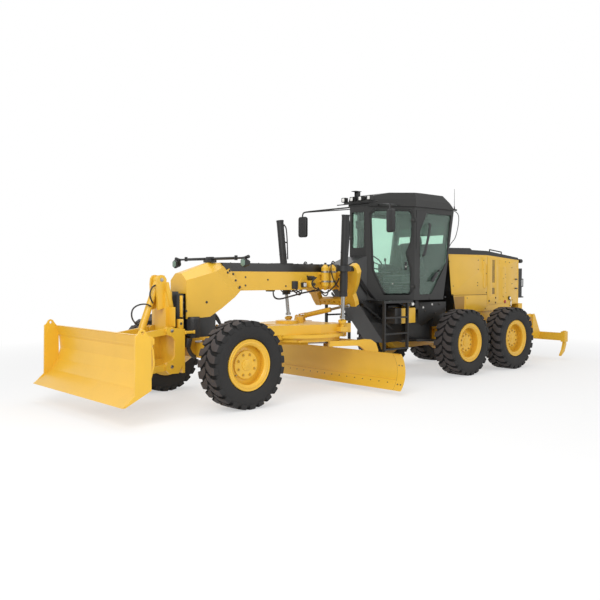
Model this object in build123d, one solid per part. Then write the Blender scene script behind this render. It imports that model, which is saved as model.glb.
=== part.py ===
from build123d import *
import math
import os

# A motor grader. X forward, Y left, Z up, in millimetres, standing on the ground at Z = 0.
# Lengthwise places are measured from the front axle. The origin is moved to mid length at the end.

# Overall
seat_gap = 0.3
pin_play = 0.3

# Wheels and tyres
tyre_radius = 610.0
tyre_width = 400.0
lug_height = 27.0
lug_count = 24
lug_reach = 62.0
bead_radius = 312.0
flange_radius = 355.0
flange_thick = 20.0
rim_half = 172.0
rim_wall = 16.0
disc_thick = 22.0
hub_radius = 105.0
spindle_radius = 42.0
front_track = 1070.0
rear_track = 970.0
tandem_first = -5161.0
tandem_pitch = 1523.0

# Front axle, lean carriers and knuckles
axle_pin_z = 740.0
axle_pin_radius = 38.0
axle_half_depth = 118.0
axle_beam_low = 630.0
axle_beam_high = 850.0
lean_y = 680.0
lean_z = 520.0
lean_pin_radius = 34.0
kingpin_y = 800.0
kingpin_radius = 34.0
carrier_radius = 62.0
carrier_half = 105.0

# Front frame
beam_half = 160.0
beam_low = 1600.0
beam_high = 1890.0
cover_high = 2022.0
neck_half = 235.0
nose_half = 150.0
nose_front = 300.0
mount_face = 440.0
hitch_x = -4600.0
hitch_pin_radius = 48.0
ball_x = -330.0
ball_z = 1000.0
ball_radius = 78.0
drawbar_pin_radius = 32.0

# Cab
cab_front = -3375.0
cab_front_half = 200.0
cab_corner = -4100.0
cab_half = 700.0
cab_floor = 1400.0
cab_top = 3060.0
cab_wall = 50.0
roof_top = 3310.0
roof_lip = 35.0
glass_thick = 8.0
door_gap = 6.0
door_thick = 46.0
door_hinge_radius = 14.0

# Engine enclosure and rear frame
hood_front = -5310.0
hood_seam = -6620.0
hood_rear = -7850.0
hood_front_half = 515.0
hood_seam_half = 500.0
hood_rear_half = 450.0
hood_low = 1130.0
hood_wall = 25.0
rail_half = 450.0
rail_inner = 340.0
rail_low = 880.0
tandem_half_height = 285.0
tandem_in = 545.0
tandem_out = 745.0
tow_x = -8065.0
tow_z = 720.0
tow_bore = 27.0

# Drawbar, circle and blade
drawbar_low = 900.0
drawbar_high = 1050.0
drawbar_half = 620.0
drawbar_rear = -2580.0
circle_x = -1950.0
circle_radius = 765.0
circle_web_radius = 700.0
circle_bore = 640.0
circle_top = 890.0
circle_low = 785.0
circle_run = 0.3
blade_face_x = -2415.0
blade_top = 638.0
blade_low = 75.0
blade_depth = 115.0
blade_thick = 22.0
blade_half = 1829.0
tip_x = -2700.0
tip_z = 230.0
tip_pin_radius = 30.0
rail_high_z = 500.0
rail_low_z = 205.0
rail_deep = 46.0
rail_reach = 1500.0
slide_play = 1.0
shoe_in = 640.0
shoe_out = 800.0
side_shift_axis = (-2620.0, 360.0)
tip_cross = (-1520.0, 730.0)
tip_ear = (-2645.0, 690.0)
tip_eye_radius = 32.0

# Lift cylinders and saddle
lift_ball = (-2330.0, 670.0, 1070.0)
lift_yoke = (-2290.0, 745.0, 1945.0)
lift_top_z = 2805.0
lift_barrel_low = 1500.0
lift_barrel_radius = 62.0
lift_rod_radius = 30.0
yoke_stub_radius = 44.0
link_x = -2830.0
link_z = 1392.0
link_half = 430.0

# Centre shift cylinder
shift_low = (-2400.0, -450.0, 1120.0)
shift_high = (-2745.0, 400.0, 1330.0)
shift_ball_radius = 32.0

# Front dozer blade
dozer_half = 1358.0
dozer_edge_x = 1957.0
tower_back = 440.0
tower_front = 650.0
arm_pin_x = 650.0
arm_pin_high = 1057.0
arm_pin_low = 556.0
arm_length = 800.0
arm_tilt = 7.5
arm_y = 255.0
arm_half = 22.0
side_plate_in = 282.0
side_plate_thick = 36.0
dozer_pin_radius = 24.0
dozer_cyl_top = (683.0, 0.0, 1766.0)
dozer_cyl_low = (1120.0, 0.0, 625.0)

# Ripper
ripper_pin_x = -7850.0
ripper_high_z = 1010.0
ripper_low_z = 560.0
ripper_arm_length = 745.0
ripper_arm_tilt = 4.0
ripper_half = 1000.0
ripper_beam_back = 345.0
socket_back = 30.0
ripper_cyl_y = 180.0
ripper_cyl_top = (-8095.0, 1120.0)
ripper_cyl_reach = 450.0
shank_places = (-950.0, 0.0, 950.0)


# Shapes that many pieces share

def block(x0, x1, y0, y1, z0, z1):
    size = Box(abs(x1 - x0), abs(y1 - y0), abs(z1 - z0))
    return Pos((x0 + x1) / 2, (y0 + y1) / 2, (z0 + z1) / 2) * size


def plate_y(outline, y0, y1):
    # outline is pairs of X and Z, thickness runs along Y
    edge = Polyline(*[(x, y0, z) for x, z in outline], close=True)
    return extrude(make_face(edge), amount=y1 - y0, dir=(0, 1, 0))


def plate_x(outline, x0, x1):
    # outline is pairs of Y and Z, thickness runs along X
    edge = Polyline(*[(x0, y, z) for y, z in outline], close=True)
    return extrude(make_face(edge), amount=x1 - x0, dir=(1, 0, 0))


def plate_z(outline, z0, z1):
    # outline is pairs of X and Y, thickness runs along Z
    edge = Polyline(*[(x, y, z0) for x, y in outline], close=True)
    return extrude(make_face(edge), amount=z1 - z0, dir=(0, 0, 1))


def bar(start, end, radius):
    line = Vector(*end) - Vector(*start)
    return Solid.make_cylinder(radius, line.length, Plane(origin=start, z_dir=line))


def along(start, end, distance):
    # the point this far from start towards end
    line = (Vector(*end) - Vector(*start)).normalized() * distance
    return tuple(Vector(*start) + line)


def both_sides(piece):
    return [piece, mirror(piece, about=Plane.XZ)]


def ring(points):
    # points are pairs of radius and distance along Y
    edge = Polyline(*[(r, y, 0) for r, y in points], close=True)
    return revolve(make_face(edge), axis=Axis.Y)


# Wheels

def tyre():
    half = tyre_width / 2
    seat = bead_radius + seat_gap
    inside = rim_half - flange_thick - seat_gap
    foot = flange_radius + 3
    base = tyre_radius - lug_height
    wall = base - foot
    side = [(seat, inside), (foot, inside), (foot + 0.2 * wall, half - 3), (foot + 0.5 * wall, half),
            (foot + 0.84 * wall, half - 10), (base - 6, half - 40), (base, half - 80)]
    body = ring([(r, -y) for r, y in side] + [(r, y) for r, y in reversed(side)])
    pitch = 360 / lug_count
    lug = tread_bar()
    turn = -math.degrees(math.asin(lug_reach / tyre_radius))
    bars = []
    for i in range(lug_count):
        bars.append(Rot(0, turn + i * pitch, 0) * lug)
        bars.append(Rot(0, turn + (i + 0.5) * pitch, 0) * mirror(lug, about=Plane.XZ))
    return body.fuse(*bars)


def tread_bar():
    # one bar of the tread below the tyre's middle: it slants out and wraps down over the shoulder
    half = tyre_width / 2
    top = math.sqrt(tyre_radius ** 2 - lug_reach ** 2)
    plan = [(-lug_reach, 6), (12, 6), (lug_reach - 2, 52), (lug_reach, half), (-36, half), (-38, 82)]
    profile = [(4, 40 - top), (4, -top), (half - 50, -top), (half - 17, 16 - top), (half - 1, 48 - top),
               (half - 1, 72 - top), (half - 40, 72 - top), (half - 60, 40 - top)]
    return (plate_x(profile, -100, 100) & plate_z(plan, -tyre_radius - 10, 100 - top)).solid()


def rim(disc_y, hub_in, hub_out):
    # disc_y is the disc's inner face, hub_in and hub_out are the hub's ends, all from the wheel's middle
    seat = bead_radius
    inner = bead_radius - rim_wall
    shell = ring([(inner, -rim_half), (flange_radius, -rim_half), (flange_radius, -rim_half + flange_thick),
                  (seat, -rim_half + flange_thick), (seat, rim_half - flange_thick),
                  (flange_radius, rim_half - flange_thick), (flange_radius, rim_half), (inner, rim_half)])
    disc = ring([(spindle_radius + pin_play, disc_y), (inner + 1, disc_y), (inner + 1, disc_y + disc_thick),
                 (spindle_radius + pin_play, disc_y + disc_thick)])
    hub = ring([(spindle_radius + pin_play, hub_in), (hub_radius, hub_in), (hub_radius, hub_out),
                (spindle_radius + pin_play, hub_out)])
    cap = ring([(0, hub_out), (hub_radius, hub_out), (hub_radius - 20, hub_out + 22), (0, hub_out + 22)])
    return shell + disc + hub + cap


front_rim_places = (-58.0, -110.0, 12.0)
rear_rim_places = (-10.0, -150.0, 40.0)


def wheel(piece, x, y):
    turned = piece if y > 0 else mirror(piece, about=Plane.XZ)
    return Pos(x, y, tyre_radius) * turned


# Front axle group

def front_axle():
    outline = [(0, axle_beam_high), (330, axle_beam_high), (560, 640), (lean_y - 55, lean_z + 62),
               (lean_y, lean_z + 47), (lean_y, lean_z - 47), (lean_y - 90, lean_z - 62), (400, 560),
               (260, axle_beam_low), (0, axle_beam_low)]
    half = plate_x(outline, -axle_half_depth, axle_half_depth)
    half += bar((-axle_half_depth, lean_y, lean_z), (axle_half_depth, lean_y, lean_z), 48)
    end_width = 80.0
    for x0, x1 in ((-200, -end_width), (end_width, 200)):
        half -= block(x0, x1, lean_y - 110, lean_y + 100, lean_z - 120, lean_z + 180)
    beam = half + mirror(half, about=Plane.XZ)
    beam -= bar((-200, 0, axle_pin_z), (200, 0, axle_pin_z), axle_pin_radius + pin_play)
    for y in (-lean_y, lean_y):
        beam += bar((-126, y, lean_z), (126, y, lean_z), lean_pin_radius)
    return beam


def lean_carrier():
    # the left one: a fork on the axle's end that carries the kingpin's housing
    x_in = 80 + 2.0
    x_out = 122.0
    outline = [(lean_y - 48, lean_z - 20), (lean_y - 20, lean_z - 50), (lean_y + 30, lean_z - 45),
               (kingpin_y - 20, lean_z - 5), (kingpin_y, lean_z + 60), (kingpin_y, tyre_radius + 60),
               (kingpin_y - 60, tyre_radius + 60), (kingpin_y - 70, lean_z + 90), (lean_y - 20, lean_z + 50),
               (lean_y - 48, lean_z + 20)]
    fork = Part()
    for x0, x1 in ((-x_out, -x_in), (x_in, x_out)):
        cheek = plate_x(outline, x0, x1)
        cheek -= bar((-200, lean_y, lean_z), (200, lean_y, lean_z), lean_pin_radius + pin_play)
        fork += cheek
    low = tyre_radius - carrier_half
    high = tyre_radius + carrier_half
    fork += block(-x_out, x_out, kingpin_y - 40, kingpin_y, tyre_radius - 10, tyre_radius + 60)
    fork += Pos(0, kingpin_y, tyre_radius) * Cylinder(carrier_radius, high - low)
    fork -= Pos(0, kingpin_y, tyre_radius) * Cylinder(kingpin_radius + pin_play, 400)
    return fork


def knuckle():
    # the left one: a C round the kingpin's housing, with the spindle
    gap = 1.0
    arm = 34.0
    top = tyre_radius + carrier_half + gap
    low = tyre_radius - carrier_half - gap
    piece = Pos(0, kingpin_y, tyre_radius) * Cylinder(kingpin_radius, 2 * (carrier_half + gap + arm))
    for z0, z1 in ((top, top + arm), (low - arm, low)):
        piece += block(-52, 52, kingpin_y - 36, kingpin_y + 110, z0, z1)
    piece += block(-60, 60, kingpin_y + 76, kingpin_y + 112, low - arm, top + arm)
    hub_end = front_track + front_rim_places[2] - 4
    piece += bar((0, kingpin_y + 100, tyre_radius), (0, hub_end, tyre_radius), spindle_radius)
    piece += bar((0, kingpin_y + 100, tyre_radius), (0, front_track + front_rim_places[1] - 2, tyre_radius), 78)
    return piece


# Front frame

def front_frame():
    beam = block(-2900, -100, -beam_half, beam_half, beam_low, beam_high)
    cover = block(-2760, -330, -beam_half + 8, beam_half - 8, beam_high, cover_high)
    neck_outline = [(-2700, beam_high), (-2850, 2012), (-3300, 2172), (cab_front + 10, 2172),
                    (cab_front + 10, cab_floor - 10), (hitch_x + 130, cab_floor - 10), (hitch_x + 130, 1150),
                    (hitch_x, 1150), (hitch_x, 640), (-3820, 620), (-3130, 1376), (-2960, 1590), (-2700, beam_low)]
    neck = plate_y(neck_outline, -neck_half, neck_half)
    neck += Pos(hitch_x, 0, (1150 + 640) / 2) * Cylinder(105, 1150 - 640)
    neck -= Pos(hitch_x, 0, 900) * Cylinder(hitch_pin_radius + pin_play, 800)
    neck -= block(hitch_x - 200, hitch_x + 128, -300, 300, 1152, 1300)
    side_cut = [(hitch_x - 150, 106), (hitch_x + 20, 106), (hitch_x + 330, neck_half + 10), (hitch_x - 150, neck_half + 10)]
    cut = plate_z(side_cut, 600, 1300)
    neck -= cut
    neck -= mirror(cut, about=Plane.XZ)
    nose_outline = [(-200, 880), (nose_front, 880), (nose_front, 1700), (-100, 1760), (-260, 1700), (-200, 1500)]
    nose = plate_y(nose_outline, -nose_half, nose_half)
    face = block(nose_front, mount_face, -nose_half, nose_half, 960, 1560)
    frame = beam + cover + neck + nose + face
    frame += axle_bolster()
    cup = bar((-150, 0, ball_z), (ball_x + 40, 0, ball_z), 52)
    return frame + (cup - Pos(ball_x, 0, ball_z) * Rot(0, 0, 90) * Sphere(ball_radius + seat_gap))


def axle_bolster():
    lugs = Part()
    for x0, x1 in ((-200, -axle_half_depth - 2), (axle_half_depth + 2, 200)):
        lugs += block(x0, x1, -90, 90, axle_pin_z - 90, 900)
    lugs += bar((-200, 0, axle_pin_z), (200, 0, axle_pin_z), axle_pin_radius)
    return lugs


def drawbar_ball():
    # the frame's cup holds the ball, the drawbar's cheeks are pinned on it
    ball = Pos(ball_x, 0, ball_z) * Sphere(ball_radius)
    ball += Pos(ball_x, 0, ball_z + ball_radius) * Cylinder(16, 24)
    return ball + bar((ball_x, -150, ball_z), (ball_x, 150, ball_z), drawbar_pin_radius)


def accumulators():
    # two upright bottles clamped to the beam's left side
    bottles = Part()
    for x in (-2340.0, -2500.0):
        bottle = Pos(x, beam_half + 95, 1815) * Cylinder(66, 300)
        bottle += Pos(x, beam_half + 95, 1640) * Cone(30, 66, 50)
        bottle += Pos(x, beam_half + 95, 1990) * Cone(66, 24, 50)
        bottles += bottle
    for z in (1740.0, 1900.0):
        top = min(z + 18, beam_high - 4)
        bottles += block(-2560, -2280, beam_half, beam_half + 60, top - 36, top)
    return bottles


def cowl():
    half = 213.0
    shell = plate_y([(346, 1204), (346, 1859), (-145, 2020), (-319, 2020), (-656, 1602), (-273, 1343),
                     (-58, 1225)], -half, half)
    hollow = plate_y([(500, 1100), (500, 1569), (322, 1569), (322, 1745), (-160, 1862), (-425, 1572),
                      (-262, 1365), (-262, 1100)], -half + 20, half - 20)
    shell -= hollow
    upper = Plane(origin=(335, half, 1761), x_dir=(-507, 0, 125), z_dir=Vector(-507, 0, 125).cross(Vector(-300, -85, 140)))
    shell = keep_inside(shell, upper)
    rear = Plane(origin=(-172, half, 1886), x_dir=(-292, 0, -316), z_dir=Vector(-292, 0, -316).cross(Vector(-484, -48, -284)))
    shell = keep_inside(shell, rear)
    beam_cut = block(-1000, -98, -beam_half - seat_gap, beam_half + seat_gap, beam_low - seat_gap, beam_high + seat_gap)
    cover_cut = block(-1000, -330 + seat_gap, -beam_half - seat_gap, beam_half + seat_gap, beam_high, 2200)
    return shell - beam_cut - cover_cut


def keep_inside(shape, plane):
    # cuts the left side by the plane and the right side by its mirror image, keeping what holds the middle
    size = 4000.0
    out = plane if plane.z_dir.Y > 0 else Plane(origin=plane.origin, x_dir=plane.x_dir, z_dir=-plane.z_dir)
    cutter = out * Pos(0, 0, size / 2) * Box(size, size, size)
    return shape - cutter - mirror(cutter, about=Plane.XZ)


def saddle():
    # the link bar and the two lift arms lie in one plane, leaning back at the bottom
    lean = Vector(lift_yoke[0] - 240 - link_x, 0, lift_yoke[2] - link_z)
    face = Plane(origin=(link_x, 0, link_z), x_dir=(0, 1, 0), z_dir=Vector(0, 1, 0).cross(lean))
    up = lean.length
    thick = 74.0
    bar_half = link_half + 40
    link = face * extrude(make_face(Polyline((-bar_half, -58), (bar_half, -58), (bar_half, 46), (180, 66),
                                             (-180, 66), (-bar_half, 46), close=True)), thick / 2, both=True)
    for y in (-240.0, -120.0, 0.0, 120.0, 240.0):
        link -= face * Pos(y, 0, 0) * Cylinder(20, 200)
    arm_outline = [(link_half - 62, -70), (link_half + 62, -70), (link_half + 84, 20), (link_half + 92, 150),
                   (link_half + 250, 330), (lift_yoke[1] + 84, up - 70), (lift_yoke[1] + 84, up + 40),
                   (lift_yoke[1] + 44, up + 78), (lift_yoke[1] - 44, up + 78), (lift_yoke[1] - 90, up + 30),
                   (neck_half + 90, 480), (neck_half + seat_gap, 440),
                   (neck_half + seat_gap, 230), (link_half - 90, 170)]
    arm = face * extrude(make_face(Polyline(*arm_outline, close=True)), 96 / 2, both=True)
    x, y, z = lift_yoke
    arm -= bar((x, y, z), (x - 500, y, z), yoke_stub_radius + pin_play)
    both = link + arm + mirror(arm, about=Plane.XZ)
    return both


def yoke():
    # a ring round the left lift cylinder that turns on a stub in the lift arm
    x, y, z = lift_yoke
    inner = lift_barrel_radius + 18
    ring_part = Pos(x, y, z) * Cylinder(inner + 34, 90)
    ring_part += bar((x - inner, y, z), (x - 330, y, z), yoke_stub_radius)
    return ring_part - Pos(x, y, z) * Cylinder(inner, 400)


def lift_barrel():
    # the left one
    line = Vector(*lift_yoke) - Vector(*lift_ball)
    top = along(lift_ball, lift_yoke, line.length * (lift_top_z - lift_ball[2]) / line.Z)
    low = along(lift_ball, lift_yoke, line.length * (lift_barrel_low - lift_ball[2]) / line.Z)
    tube = bar(low, top, lift_barrel_radius)
    tube += bar(low, along(low, top, 60), lift_barrel_radius + 8)
    bore_end = along(low, top, 1180)
    tube -= bar(along(low, top, -10), bore_end, lift_rod_radius + pin_play)
    x, y, z = lift_yoke
    reach = lift_barrel_radius + 18 + 34
    pin = bar((x, y - reach, z), (x, y + reach, z), 26)
    pin -= bar(along(low, top, -10), bore_end, lift_rod_radius + 12)
    return tube + pin + yoke()


def lift_rod():
    low = along(lift_ball, lift_yoke, 70)
    top = along(lift_ball, lift_yoke, 1150)
    rod = bar(low, top, lift_rod_radius)
    rod += bar(low, along(low, top, 40), lift_rod_radius + 16)
    return rod


# Cab

def cab_plan(grow=0.0):
    rear = cab_corner - 1400
    corners = [(cab_front, -cab_front_half), (cab_front, cab_front_half), (cab_corner, cab_half), (rear, cab_half),
               (rear, -cab_half), (cab_corner, -cab_half)]
    face = make_face(Polyline(*[(x, y, 0) for x, y in corners], close=True))
    return offset(face, grow, kind=Kind.INTERSECTION) if grow else face


def cab_side(grow=0.0):
    corners = [(cab_front, cab_floor), (cab_front, cab_top), (-5235, cab_top), (-4930, cab_floor)]
    face = Plane.XZ * make_face(Polyline(*[(x, z, 0) for x, z in corners], close=True))
    return offset(face, grow, kind=Kind.INTERSECTION) if grow else face


def cab_volume(grow, low, high):
    plan = Pos(0, 0, low) * extrude(cab_plan(grow), high - low)
    side = extrude(cab_side(grow), 2000, both=True)
    return plan, side


def door_plane():
    run = Vector(cab_corner - cab_front, cab_half - cab_front_half, 0)
    out = Vector(-run.Y, run.X, 0) * -1
    return Plane(origin=(cab_front, cab_front_half, 0), x_dir=run, z_dir=out)


# Door corners: distance along the door from the cab's front corner, height
door_corners = [(70.0, 2930.0), (150.0, 3005.0), (800.0, 3005.0), (850.0, 2930.0), (850.0, 2480.0), (742.0, 2250.0),
                (828.0, 1930.0), (836.0, 1560.0), (790.0, 1500.0), (330.0, 1500.0), (120.0, 1930.0)]
door_glass_inset = 62.0


def door_face(grow):
    face = make_face(Polyline(*[(s, z, 0) for s, z in door_corners], close=True))
    return offset(face, grow, kind=Kind.INTERSECTION) if grow else face


def cab_shell():
    plan, side = cab_volume(0, cab_floor, cab_top)
    outer = plan & side
    inner_plan = Pos(0, 0, cab_floor + cab_wall) * extrude(cab_plan(-cab_wall), 2000)
    inner_side = extrude(offset(Plane.XZ * make_face(Polyline(
        (cab_front, cab_floor, 0), (cab_front, 4000, 0), (-5414, 4000, 0), (-4930, cab_floor, 0), close=True)),
        -cab_wall, kind=Kind.INTERSECTION), 2000, both=True)
    shell = outer - (inner_plan & inner_side)
    opening = door_plane() * Pos(0, 0, -120) * extrude(door_face(door_gap), 240)
    shell -= opening
    shell -= mirror(opening, about=Plane.XZ)
    shell -= windows_cut(0.0)
    return shell


# Rear quarter window corners on the cab's side: X, Z
quarter_corners = [(-4300.0, 2960.0), (-5150.0, 2960.0), (-5005.0, 2060.0), (-4580.0, 1500.0), (-4250.0, 1500.0),
                   (-4250.0, 2560.0)]
front_window = (150.0, 2330.0, 2960.0)
rear_window = (560.0, 2440.0, 2960.0)


def windows_cut(shrink):
    half, low, high = front_window
    cut = block(cab_front - 200, cab_front + 100, -half + shrink, half - shrink, low + shrink, high - shrink)
    face = Plane.XZ * make_face(Polyline(*[(x, z, 0) for x, z in quarter_corners], close=True))
    if shrink:
        face = offset(face, -shrink, kind=Kind.INTERSECTION)
    quarter = Pos(0, cab_half + 60, 0) * extrude(face, 240)
    half, low, high = rear_window
    back = block(-5400, -5000, -half + shrink, half - shrink, low + shrink, high - shrink)
    return Part() + cut + quarter + mirror(quarter, about=Plane.XZ) + back


def cab_glass():
    # each pane stands in the middle of its wall
    middle = cab_wall / 2
    layer_out = cab_volume(-middle, cab_floor, cab_top)
    layer_in = cab_volume(-middle - glass_thick, cab_floor - 100, cab_top + 100)
    sheet = (layer_out[0] & layer_out[1]) - (layer_in[0] & extrude(offset(Plane.XZ * make_face(Polyline(
        (cab_front, cab_floor - 800, 0), (cab_front, 4000, 0), (-5414, 4000, 0), (-4777, cab_floor - 800, 0), close=True)),
        -middle - glass_thick, kind=Kind.INTERSECTION), 2000, both=True))
    return sheet & windows_cut(seat_gap)


def cab_roof():
    outline = [(cab_front - 25, cab_top), (cab_front - 20, cab_top + 40), (cab_front - 60, 3235), (-3720, 3300),
               (-4300, roof_top), (-4900, roof_top - 5), (-5150, 3110), (-5190, cab_top)]
    body = plate_y(outline, -1000, 1000)
    plan = Pos(0, 0, cab_top) * extrude(cab_plan(roof_lip), 120)
    plan += Pos(0, 0, cab_top + 120) * extrude(cab_plan(roof_lip), 200, taper=18)
    roof = body & plan
    rail_x = cab_front + 12
    roof += block(rail_x - 12, rail_x + 12, -330, 330, 3130, 3160)
    for y in (-200.0, 200.0):
        roof += block(rail_x - 60, rail_x, y - 15, y + 15, 3130, 3160)
    for y in (-312.0, -104.0, 104.0, 312.0):
        roof += block(rail_x - 35, rail_x + 45, y - 42, y + 42, 3155, 3237)
    return roof


def door():
    # the left one: a frame with its pane, and the two hinge barrels at its rear edge
    plane = door_plane()
    face = door_face(0)
    pane = door_face(-door_glass_inset)
    frame = plane * Pos(0, 0, -door_thick) * extrude(face, door_thick)
    frame -= plane * Pos(0, 0, -200) * extrude(pane, 400)
    glass = plane * Pos(0, 0, -(door_thick + glass_thick) / 2) * extrude(door_face(-door_glass_inset - seat_gap), glass_thick)
    for z in (1640.0, 2820.0):
        hinge = door_hinge_place(z)
        leaf = plane * Pos(846, z, 6 + seat_gap) * Box(94, 60, 12)
        leaf += plane * Pos(813, z, 5.5) * Box(28, 60, 13)
        frame += leaf
        frame += Pos(*hinge) * Cylinder(door_hinge_radius, 60)
    return Compound(children=[frame.solid(), glass.solid()])


def door_hinge_place(z):
    point = door_plane().from_local_coords((893, z, 18))
    return (point.X, point.Y, z)


def seat():
    base = block(-4720, -4380, -170, 170, cab_floor + cab_wall, 1620)
    cushion = block(-4790, -4290, -250, 250, 1620, 1860)
    back = plate_y([(-4690, 1800), (-4850, 1800), (-5010, 2440), (-4900, 2440)], -240, 240)
    head = plate_y([(-4905, 2420), (-5000, 2420), (-5035, 2600), (-4955, 2600)], -140, 140)
    unit = base + cushion + back + head
    for side in (-1, 1):
        unit += block(-4800, -4380, side * 240, side * 330, 1900, 2030)
        unit += block(-4700, -4560, side * 240, side * 330, 1700, 1900)
        unit += Pos(-4430, side * 285, 2100) * Cylinder(26, 150)
    return unit


def steps():
    # the left one: a ladder of two posts and three rungs, hung from a small deck by the door
    y0, y1 = 690.0, 740.0
    inner = neck_half + seat_gap
    deck = plate_z([(cab_front - 60, inner), (-3260, y0), (-3260, y1), (-4020, y1), (-4060, 640), (-3800, inner)],
                   cab_floor - 42, cab_floor - seat_gap)
    ladder = deck
    for x in (-3290.0, -3890.0):
        ladder += block(x - 17, x + 17, y0, y1, 545, cab_floor - 30)
    for z in (565.0, 830.0, 1110.0):
        ladder += block(-3890, -3290, y0, y1, z - 14, z + 14)
    return ladder


def side_box():
    return block(-4060, -3680, neck_half, 620, 990, 1260) + block(-4020, -3720, neck_half, 420, 1200, 1300)


def lamp_bar():
    z = 2078.0
    x = -205.0
    bar_piece = block(x - 25, x + 25, -860, 860, z - 18, z + 18)
    bar_piece += block(x - 60, x + 60, -60, 60, 2020 + seat_gap, z + 30)
    for side in (-1, 1):
        bar_piece += block(x - 18, x + 18, side * 855 - 25, side * 855 + 25, 2000, z + 18)
        lamp = Pos(x + 10, side * 900, 2010) * Rot(0, 90, 0) * Cylinder(62, 110)
        bar_piece += lamp
    return bar_piece


def mirrors():
    # the left one: an arm off the roof's front corner and its glass in a housing
    x, y = cab_front + 365, 1080.0
    post = bar((x, y, 3036), (x, y, 2620), 22)
    arm = bar((cab_front - 165, 330, 3085), (x, y, 3010), 14) + post
    arm += bar((cab_front - 485, 540, 3085), (x - 10, y, 3010), 11)
    arm -= Pos(0, 0, 3000) * extrude(cab_plan(roof_lip + seat_gap), 300, dir=(0, 0, 1))
    return arm + block(x - 45, x + 25, y - 110, y + 110, 2540, 2930)


def aerial():
    # a thin rod on a foot that sits on the cab's rear wall, behind the roof
    x, y = -5265.0, cab_half - 14
    foot = block(x - 18, -5196, y - 18, y + 18, cab_top + seat_gap, cab_top + 12)
    foot += Pos(x, y, cab_top + 40) * Cylinder(14, 80)
    return foot + bar((x, y, cab_top + 20), (x, y, 3464), 6)


# Rear frame and engine enclosure

def rear_frame():
    rail = block(-7780, -4950, rail_inner, rail_half, rail_low, hood_low)
    frame = rail + mirror(rail, about=Plane.XZ)
    for x in (-4990.0, -5450.0, -6400.0, -7300.0):
        frame += block(x - 60, x + 60, -rail_inner, rail_inner, rail_low + 20, hood_low - 30)
    frame += block(-8010, -7860, -rail_half, rail_half, 1125, 1250)
    frame += block(-8010, -7700, -240, 240, 900, 1140)
    frame += block(-8010, -7860, -120, 120, 640, 910)
    frame += hitch_plates()
    frame += ripper_mount()
    frame += block(tow_x - 45, -8000, -70, 70, tow_z - 20, tow_z + 20)
    frame -= Pos(tow_x, 0, tow_z) * Cylinder(tow_bore, 100)
    saddle_block = block(-6122, -5722, -rail_half, rail_half, 780, rail_low)
    return frame + saddle_block


def hitch_plates():
    outline = [(hitch_x + 95, -60), (hitch_x + 95, 60), (hitch_x, 120), (hitch_x - 180, 200), (-5060, rail_half),
               (-5060, -rail_half), (hitch_x - 180, -200), (hitch_x, -120)]
    plates = Part()
    for z0, z1 in ((1154.0, 1200.0), (590.0, 636.0)):
        plates += plate_z(outline, z0, z1)
    plates += block(-5060, -4990, -rail_inner, rail_inner, 590, 1200)
    plates += Pos(hitch_x, 0, 895) * Cylinder(hitch_pin_radius, 640)
    return plates


def ripper_mount():
    # two cheeks each side that hold the arms and links, and ears for the cylinders
    outline = [(-7760, 1000), (-7760, 600), (-7800, 510), (-7880, 500), (-7925, 560), (-7900, 760), (-7925, 1010),
               (-7890, 1125), (-7760, 1125)]
    mount = Part()
    for y in ripper_arm_places:
        for y0 in (y - 62, y + 34):
            mount += plate_y(outline, y0, y0 + 28)
        for z in (ripper_high_z, ripper_low_z):
            mount += bar((ripper_pin_x, y - 62, z), (ripper_pin_x, y + 62, z), 26)
    x, z = ripper_cyl_top
    for y in (-ripper_cyl_y, ripper_cyl_y):
        for y0 in (y - 58, y + 34):
            mount += plate_y([(-8005, z + 50), (x, z + 40), (x - 36, z), (x, z - 40), (-8005, z - 60)], y0, y0 + 24)
        mount += bar((x, y - 58, z), (x, y + 58, z), 20)
    return mount


ripper_arm_places = (-330.0, 330.0)


def engine_block():
    return block(-6800, -5750, -395, 395, hood_low + seat_gap, 1980)


def hood_volume(inset):
    side = [(hood_front - 1.1 * inset, 2250 - inset), (-5560 - 1.1 * inset, hood_low - (60 if inset else 0)),
            (-7500, hood_low - (60 if inset else 0)), (-7620, 1250 - (180 if inset else 0)),
            (hood_rear + inset, 1250 - (180 if inset else 0)), (hood_rear + inset, 2176 - inset),
            (hood_seam, 2256 - inset)]
    plan = [(hood_front + 50, hood_front_half - inset), (hood_seam, hood_seam_half - inset),
            (hood_rear - 50, hood_rear_half - inset), (hood_rear - 50, -hood_rear_half + inset),
            (hood_seam, -hood_seam_half + inset), (hood_front + 50, -hood_front_half + inset)]
    return plate_y(side, -600, 600) & plate_z(plan, 1000, 2400)


def hood():
    shell = hood_volume(0) - hood_volume(hood_wall)
    for y in (-1, 1):
        shell -= block(-5960, -5520, y * 505, y * 480, hood_low - 5, 1440)
    window = block(hood_rear - 60, hood_rear + 60, -360, 360, 1400, 2080)
    return shell - window


def hood_top():
    line = [(hood_front, 2250), (hood_front - 15, 2290), (hood_front - 80, 2372), (-6030, 2384), (-6090, 2348), (-6640, 2342),
            (-7830, 2226), (hood_rear, 2176), (hood_seam, 2256)]
    plan = [(hood_front + 50, hood_front_half - 4), (hood_seam, hood_seam_half - 4), (hood_rear - 50, hood_rear_half - 4),
            (hood_rear - 50, -hood_rear_half + 4), (hood_seam, -hood_seam_half + 4), (hood_front + 50, -hood_front_half + 4)]
    cover = plate_y(line, -600, 600) & plate_z(plan, 2000, 2600)
    for y in (-330.0, 330.0):
        for x in (-6950.0, -7380.0):
            z = 2342 - (x + 6640) * -0.0975
            cover += bar((x, y, z - 20), (x, y, z + 70), 12)
        cover += bar((-6950, y, 2342 - 310 * 0.0975 + 70), (-7380, y, 2342 - 740 * 0.0975 + 70), 12)
    return cover


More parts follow.
